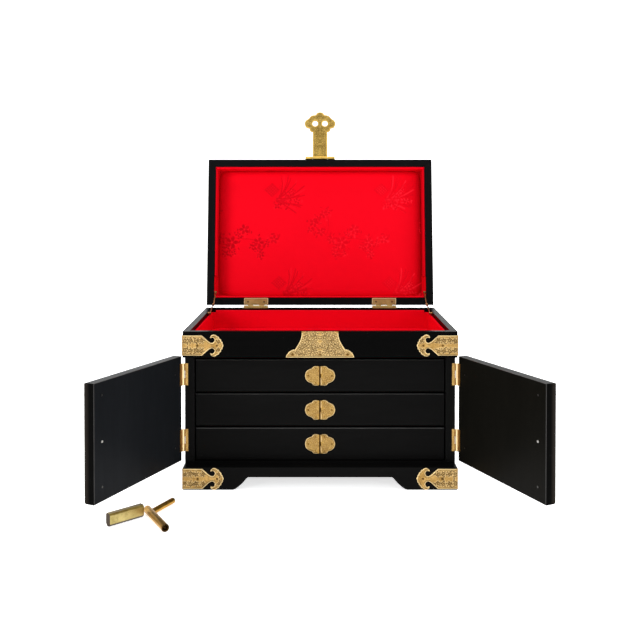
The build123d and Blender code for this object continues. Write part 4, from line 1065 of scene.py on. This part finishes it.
def pad_panel(name, x0, x1, y0, y1, place, res, crown, roll, sink, uv_off=(0, 0), thick=1.2, material=None, painted_shadow=None):
    """A foam backed cloth panel: crowned, rolled down along its edges. place(u, v, h)."""
    def axis(a, b):
        fine = [0.0, 0.3, 0.7, 1.2, 1.9, 2.8, 3.9, 5.2, 6.8, 8.6, 10.6]
        mid = np.arange(a + 12.6, b - 12.6 + 1e-6, res)
        return np.array([a + f for f in fine] + list(mid) + [b - f for f in reversed(fine)])
    us, vs = axis(x0, x1), axis(y0, y1)
    gu, gv = np.meshgrid(us, vs)
    du = np.minimum(gu - x0, x1 - gu)
    dv = np.minimum(gv - y0, y1 - gv)
    d = np.minimum(du, dv)
    k = 6.0                                     # soft corner
    dd = -np.log(np.exp(-du / k) + np.exp(-dv / k)) * k
    dd = np.clip(dd, 0, None)
    t = np.clip(dd / roll, 0, 1)
    h = -sink + (crown + sink) * np.sqrt(1 - (1 - t) ** 2)
    rs = np.random.RandomState(7)
    wob = 0.10 * np.sin(gu / 37.0 + 1.3) * np.sin(gv / 29.0 + 0.4) + 0.05 * np.sin(gu / 13.0 + gv / 17.0)
    h = h + wob * t
    mo, li = motif_at((gu + uv_off[0]).ravel(), (gv + uv_off[1]).ravel())
    h = h + (mo.reshape(h.shape) * 0.05)
    tn = list(np.clip(painted_shadow(gu.ravel(), gv.ravel()), 0, 1)) if painted_shadow else [0.0] * gu.size
    nu, nv = len(us), len(vs)
    verts = [place(a, b, c) for a, b, c in zip(gu.ravel(), gv.ravel(), h.ravel())]
    faces = [(j * nu + i, j * nu + i + 1, (j + 1) * nu + i + 1, (j + 1) * nu + i) for j in range(nv - 1) for i in range(nu - 1)]
    # closed underside
    ring = [i for i in range(nu)] + [j * nu + nu - 1 for j in range(1, nv)] + [(nv - 1) * nu + i for i in range(nu - 2, -1, -1)] + [j * nu for j in range(nv - 2, 0, -1)]
    base = len(verts)
    fu, fv, fh = gu.ravel(), gv.ravel(), h.ravel()
    for i in ring:
        verts.append(place(fu[i], fv[i], -sink - thick))
    m = len(ring)
    for a in range(m):
        b = (a + 1) % m
        faces.append((ring[a], ring[b], base + b, base + a))
    faces.append(tuple(base + a for a in range(m))[::-1])
    return new_obj(name, verts, faces, material or RED, 60.0, {"motif": list(mo) + [0.0] * m, "lite": list(li) + [0.0] * m, "painted_shadow": tn + [0.0] * m})


def lining_strip(name, length, height, thick, place, res=2.0, uv=(0, 0), open_edge_round=1.3, pattern=0.0, painted_shadow=0.0):
    """A cloth covered card: (s along, t from its foot to its free edge, h away from the wall), rounded free edge."""
    prof = [(0.0, 0.0), (0.0, thick)]
    n = 8
    r = min(open_edge_round, thick / 2 - 0.01)
    for i in range(n + 1):
        a = math.pi / 2 * i / n
        prof.append((height - r + r * math.sin(a), thick - r + r * math.cos(a)))
    for i in range(n + 1):
        a = math.pi / 2 * i / n
        prof.append((height - r + r * math.cos(a), r - r * math.sin(a)))
    dense = []
    for (a, b), (c, d) in zip(prof, prof[1:]):
        L = math.hypot(c - a, d - b)
        k = max(1, int(L / res))
        dense += [(a + (c - a) * i / k, b + (d - b) * i / k) for i in range(k)]
    dense.append(prof[-1])
    ns = max(2, int(length / res))
    ss = [length * i / ns for i in range(ns + 1)]
    verts, mo_u, mo_v = [], [], []
    for s in ss:
        bulge = 0.12 * math.sin(s / 23.0 + 0.7)
        for (t, h) in dense:
            verts.append(place(s, t, h + (bulge if h >= thick - 1e-6 and 2 < t < height - 3 else 0)))
            mo_u.append(s + uv[0])
            mo_v.append(t + uv[1])
    m = len(dense)
    faces = []
    for i in range(ns):
        for j in range(m - 1):
            faces.append((i * m + j, i * m + j + 1, (i + 1) * m + j + 1, (i + 1) * m + j))
        faces.append((i * m + m - 1, i * m, (i + 1) * m, (i + 1) * m + m - 1))
    faces.append(tuple(range(m))[::-1])
    faces.append(tuple(ns * m + j for j in range(m)))
    mo, li = motif_at(mo_u, mo_v) if pattern else (np.zeros(len(verts)), np.zeros(len(verts)))
    return new_obj(name, verts, faces, RED, 50.0, {"motif": mo * pattern, "lite": li * pattern, "painted_shadow": np.full(len(verts), painted_shadow)})


def soft(o, node, body):
    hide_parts(node)
    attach(o, body)


# lid: padded panel and four cloth covered side boards, drawn with the lid shut
LX = W / 2 - LID_WALL
ly0, ly1 = LID_WALL, D - LID_WALL
zt = Z_LID + LID_H - 3.0                        # underside of the lid's card, shut
lid_place = lambda u, v, h: LID_M @ P(u, v, zt - h)
# the lid pad is painted darker along its left, right and front edges: painted shadow from the lid's walls
panel = pad_panel("lid_pad", -LX + 3.1, LX - 3.1, ly0 + 3.1, ly1 - 3.1, lid_place, 0.8,
                  crown=2.6, roll=11.0, sink=1.2, uv_off=(0, 0),
                  painted_shadow=lambda u, v: np.maximum.reduce([0.52 * smoothstep(26.0, 2.0, u + LX), 0.62 * smoothstep(16.0, 4.0, LX - u),
                                                       0.42 * smoothstep(11.0, 2.0, v - ly0)]))
soft(panel, "lid_lining", "lid")
zr = Z_LID + 1.2
hgt = Z_LID + LID_H - zr
strips = []
cut_y = ly1 - 34.0
strips.append(lining_strip("lid_lining_front", 2 * LX, hgt, LINE_T, lambda s, t, h: LID_M @ P(-LX + s, ly0 + h, Z_LID + LID_H - t), uv=(-160, 30)))
strips.append(lining_strip("lid_lining_back", 2 * LX - 6.2, hgt, LINE_T, lambda s, t, h: LID_M @ P(-LX + 3.1 + s, ly1 - h, Z_LID + LID_H - t), uv=(-160, -70)))
# the lid's side boards are painted darker: painted shade
for sx, tag in ((-1, "left"), (1, "right")):
    strips.append(lining_strip("lid_lining_%s" % tag, cut_y - ly0 - LINE_T - 0.1, hgt, LINE_T,
                               lambda s, t, h, sx=sx: LID_M @ P(sx * (LX - h), ly0 + LINE_T + 0.1 + s, Z_LID + LID_H - t), uv=(20, 30 * sx), painted_shadow=0.34 if sx > 0 else 0.22))
for sx, tag in ((-1, "left"), (1, "right")):       # the stays fold beside these thinner ends
    strips.append(lining_strip("lid_lining_%s_end" % tag, ly1 - LINE_T - cut_y - 0.2, hgt - 0.6, 0.42,
                               lambda s, t, h, sx=sx: LID_M @ P(sx * (LX - h), cut_y + 0.1 + s, Z_LID + LID_H - t), open_edge_round=0.3))
    strips.append(lining_strip("lid_lining_%s_card" % tag, ly1 - LINE_T - cut_y - 0.2, 3.0, 2.9,
                               lambda s, t, h, sx=sx: LID_M @ P(sx * (LX - 0.45 - t), cut_y + 0.1 + s, Z_LID + LID_H - h), open_edge_round=0.3))
for o in strips:
    soft(o, "lid_lining", "lid")

# tray
TX, ty0, ty1 = W / 2 - TRAY_WALL, TRAY_WALL, D - TRAY_WALL
th_ = Z_RIM - LINE_DROP - TRAY_FLOOR
floor_pad = pad_panel("tray_pad", -TX + 3.1, TX - 3.1, ty0 + 3.1, ty1 - 3.1, lambda u, v, h: P(u, v, TRAY_FLOOR + 1.3 + h),
                      1.3, crown=0.7, roll=9.0, sink=0.5, uv_off=(40, -60), thick=0.6)
soft(floor_pad, "tray_lining", "chest")
strips = [
    lining_strip("tray_lining_front", 2 * TX, th_, LINE_T, lambda s, t, h: P(-TX + s, ty0 + h, TRAY_FLOOR + t), uv=(-150, 12)),
    lining_strip("tray_lining_back", 2 * BACK_X, Z_RIM - BACK_DROP - TRAY_FLOOR, LINE_T,
                 lambda s, t, h: P(-BACK_X + s, ty1 - h, TRAY_FLOOR + t), uv=(-150, -34), pattern=0.12),
    lining_strip("tray_lining_back_left", TX - BACK_X, th_, LINE_T, lambda s, t, h: P(-TX + s, ty1 - h, TRAY_FLOOR + t)),
    lining_strip("tray_lining_back_right", TX - BACK_X, th_, LINE_T, lambda s, t, h: P(BACK_X + s, ty1 - h, TRAY_FLOOR + t)),
]
for sx, tag in ((-1, "left"), (1, "right")):
    strips.append(lining_strip("tray_lining_%s" % tag, ty1 - ty0 - 2 * LINE_T - 0.2, th_, LINE_T,
                               lambda s, t, h, sx=sx: P(sx * (TX - h), ty0 + LINE_T + 0.1 + s, TRAY_FLOOR + t), uv=(11, 40 * sx)))
for o in strips:
    soft(o, "tray_lining", "chest")

# drawers
for name, z0 in zip(("bottom", "middle", "top"), DR_Z0):
    b0, b1 = z0 + 0.2, z0 + 38.0
    ix = DR_BX - DR_WALL
    ya, yb = DR_Y + DR_FT + DR_WALL, DR_BACK - DR_WALL
    body = "drawer_%s" % name
    fl = pad_panel("drawer_%s_pad" % name, -ix + 1.6, ix - 1.6, ya + 1.6, yb - 1.6, lambda u, v, h, b0=b0: P(u, v, b0 + 5.4 + h),
                   2.0, crown=0.8, roll=8.0, sink=0.4, uv_off=(70, -30), thick=0.8)
    soft(fl, "drawer_%s_lining" % name, body)
    hh = b1 - 3 - (b0 + 4)
    for o in (
        lining_strip("drawer_%s_lining_front" % name, 2 * ix, hh, 1.5, lambda s, t, h, b0=b0: P(-ix + s, ya + h, b0 + 4 + t), 3.0, (0, 10)),
        lining_strip("drawer_%s_lining_back" % name, 2 * ix, hh, 1.5, lambda s, t, h, b0=b0: P(-ix + s, yb - h, b0 + 4 + t), 3.0, (60, 20)),
        lining_strip("drawer_%s_lining_left" % name, yb - ya - 3.2, hh, 1.5, lambda s, t, h, b0=b0: P(-ix + h, ya + 1.6 + s, b0 + 4 + t), 3.0, (30, 50)),
        lining_strip("drawer_%s_lining_right" % name, yb - ya - 3.2, hh, 1.5, lambda s, t, h, b0=b0: P(ix - h, ya + 1.6 + s, b0 + 4 + t), 3.0, (90, 70)),
    ):
        soft(o, "drawer_%s_lining" % name, body)


# ------------------------------------------------------------------ floor, light, camera
def stage_floor():
    verts, faces = [], []
    prof = [(-6.0, 0.0), (2.4, 0.0)]
    for i in range(1, 13):
        a = math.pi / 2 * i / 12
        prof.append((2.4 + 1.6 * math.sin(a), 1.6 - 1.6 * math.cos(a)))
    prof.append((4.0, 6.0))
    for y, z in prof:
        verts += [(-7.0, y, z), (7.0, y, z)]
    for i in range(len(prof) - 1):
        faces.append((2 * i, 2 * i + 1, 2 * i + 3, 2 * i + 2))
    m = Mat("pale_floor")
    n = m.noise(m.coord(), 3.0, 2.0)
    m.set(color=m.mix(n, (0.94, 0.94, 0.94), (0.97, 0.97, 0.97)), rough=0.9, spec=0.02)
    m.b.inputs["Emission Color"].default_value = (1.0, 1.0, 1.0, 1)
    m.b.inputs["Emission Strength"].default_value = 0.70
    o = new_obj("floor", verts, faces, m.m, 60.0)
    for v in o.data.vertices:
        v.co.z -= 0.0002
    return o


stage_floor()
world = bpy.data.worlds.new("studio")
bpy.context.scene.world = world
world.use_nodes = True
wt = world.node_tree
bg = wt.nodes["Background"]
tc = wt.nodes.new("ShaderNodeTexCoord")
sp = wt.nodes.new("ShaderNodeSeparateXYZ")
wt.links.new(tc.outputs["Generated"], sp.inputs[0])


def world_ramp(src, stops):
    mr = wt.nodes.new("ShaderNodeMath")
    mr.operation = "MULTIPLY_ADD"
    mr.inputs[1].default_value = 0.5
    mr.inputs[2].default_value = 0.5
    wt.links.new(src, mr.inputs[0])
    r = wt.nodes.new("ShaderNodeValToRGB")
    e = r.color_ramp.elements
    while len(e) < len(stops):
        e.new(0.5)
    for el, (pos, c) in zip(e, stops):
        el.position, el.color = pos, (c, c, c, 1)
    wt.links.new(mr.outputs[0], r.inputs["Fac"])
    return r.outputs["Color"]


up = world_ramp(sp.outputs["Z"], [(0.45, 0.55), (0.60, 0.42), (0.80, 0.80), (1.0, 1.0)])
side = world_ramp(sp.outputs["Y"], [(0.0, 0.42), (0.30, 0.62), (0.60, 1.0), (1.0, 1.0)])
mx = wt.nodes.new("ShaderNodeMix")
mx.data_type, mx.blend_type = "RGBA", "MULTIPLY"
mx.inputs[0].default_value = 1.0
wt.links.new(up, mx.inputs[6])
wt.links.new(side, mx.inputs[7])
wt.links.new(mx.outputs[2], bg.inputs[0])
bg.inputs[1].default_value = 1.0


def area(name, loc, target, size, power, size_y=None):
    d = bpy.data.lights.new(name, "AREA")
    d.shape = "RECTANGLE"
    d.size = size
    d.size_y = size_y or size
    d.energy = power
    o = bpy.data.objects.new(name, d)
    bpy.context.scene.collection.objects.link(o)
    o.location = loc
    o.rotation_euler = (Vector(target) - Vector(loc)).to_track_quat("-Z", "Y").to_euler()
    return o


area("top_soft", (0.0, 0.2, 2.6), (0, 0.0, 0.1), 2.6, 38.0)
area("key_left", (-2.1, -1.9, 1.15), (0, 0.1, 0.25), 1.0, 35.0)
fill = area("fill_right", (2.2, -2.0, 1.0), (0, 0.1, 0.2), 1.5, 27.0)
fill.data.color = (0.93, 0.97, 1.0)

CAM = dict(f=851.7, cx=320.05, cy=207.8, th=1.0, L=1099.07, H=385.26)
cam_d = bpy.data.cameras.new("camera")
cam_d.sensor_fit = "HORIZONTAL"
cam_d.sensor_width = 36.0
cam_d.lens = CAM["f"] / 640.0 * 36.0
cam_d.shift_x = (320.0 - CAM["cx"]) / 640.0
cam_d.shift_y = (CAM["cy"] - 320.0) / 640.0
cam_d.clip_start = 0.02
cam_d.clip_end = 50.0
cam = bpy.data.objects.new("camera", cam_d)
bpy.context.scene.collection.objects.link(cam)
cam.location = P(0, -CAM["L"], CAM["H"])
cam.rotation_euler = (math.radians(90.0 - CAM["th"]), 0, 0)
bpy.context.scene.camera = cam
bpy.context.scene.view_settings.view_transform = "Standard"
bpy.context.scene.view_settings.look = "None"
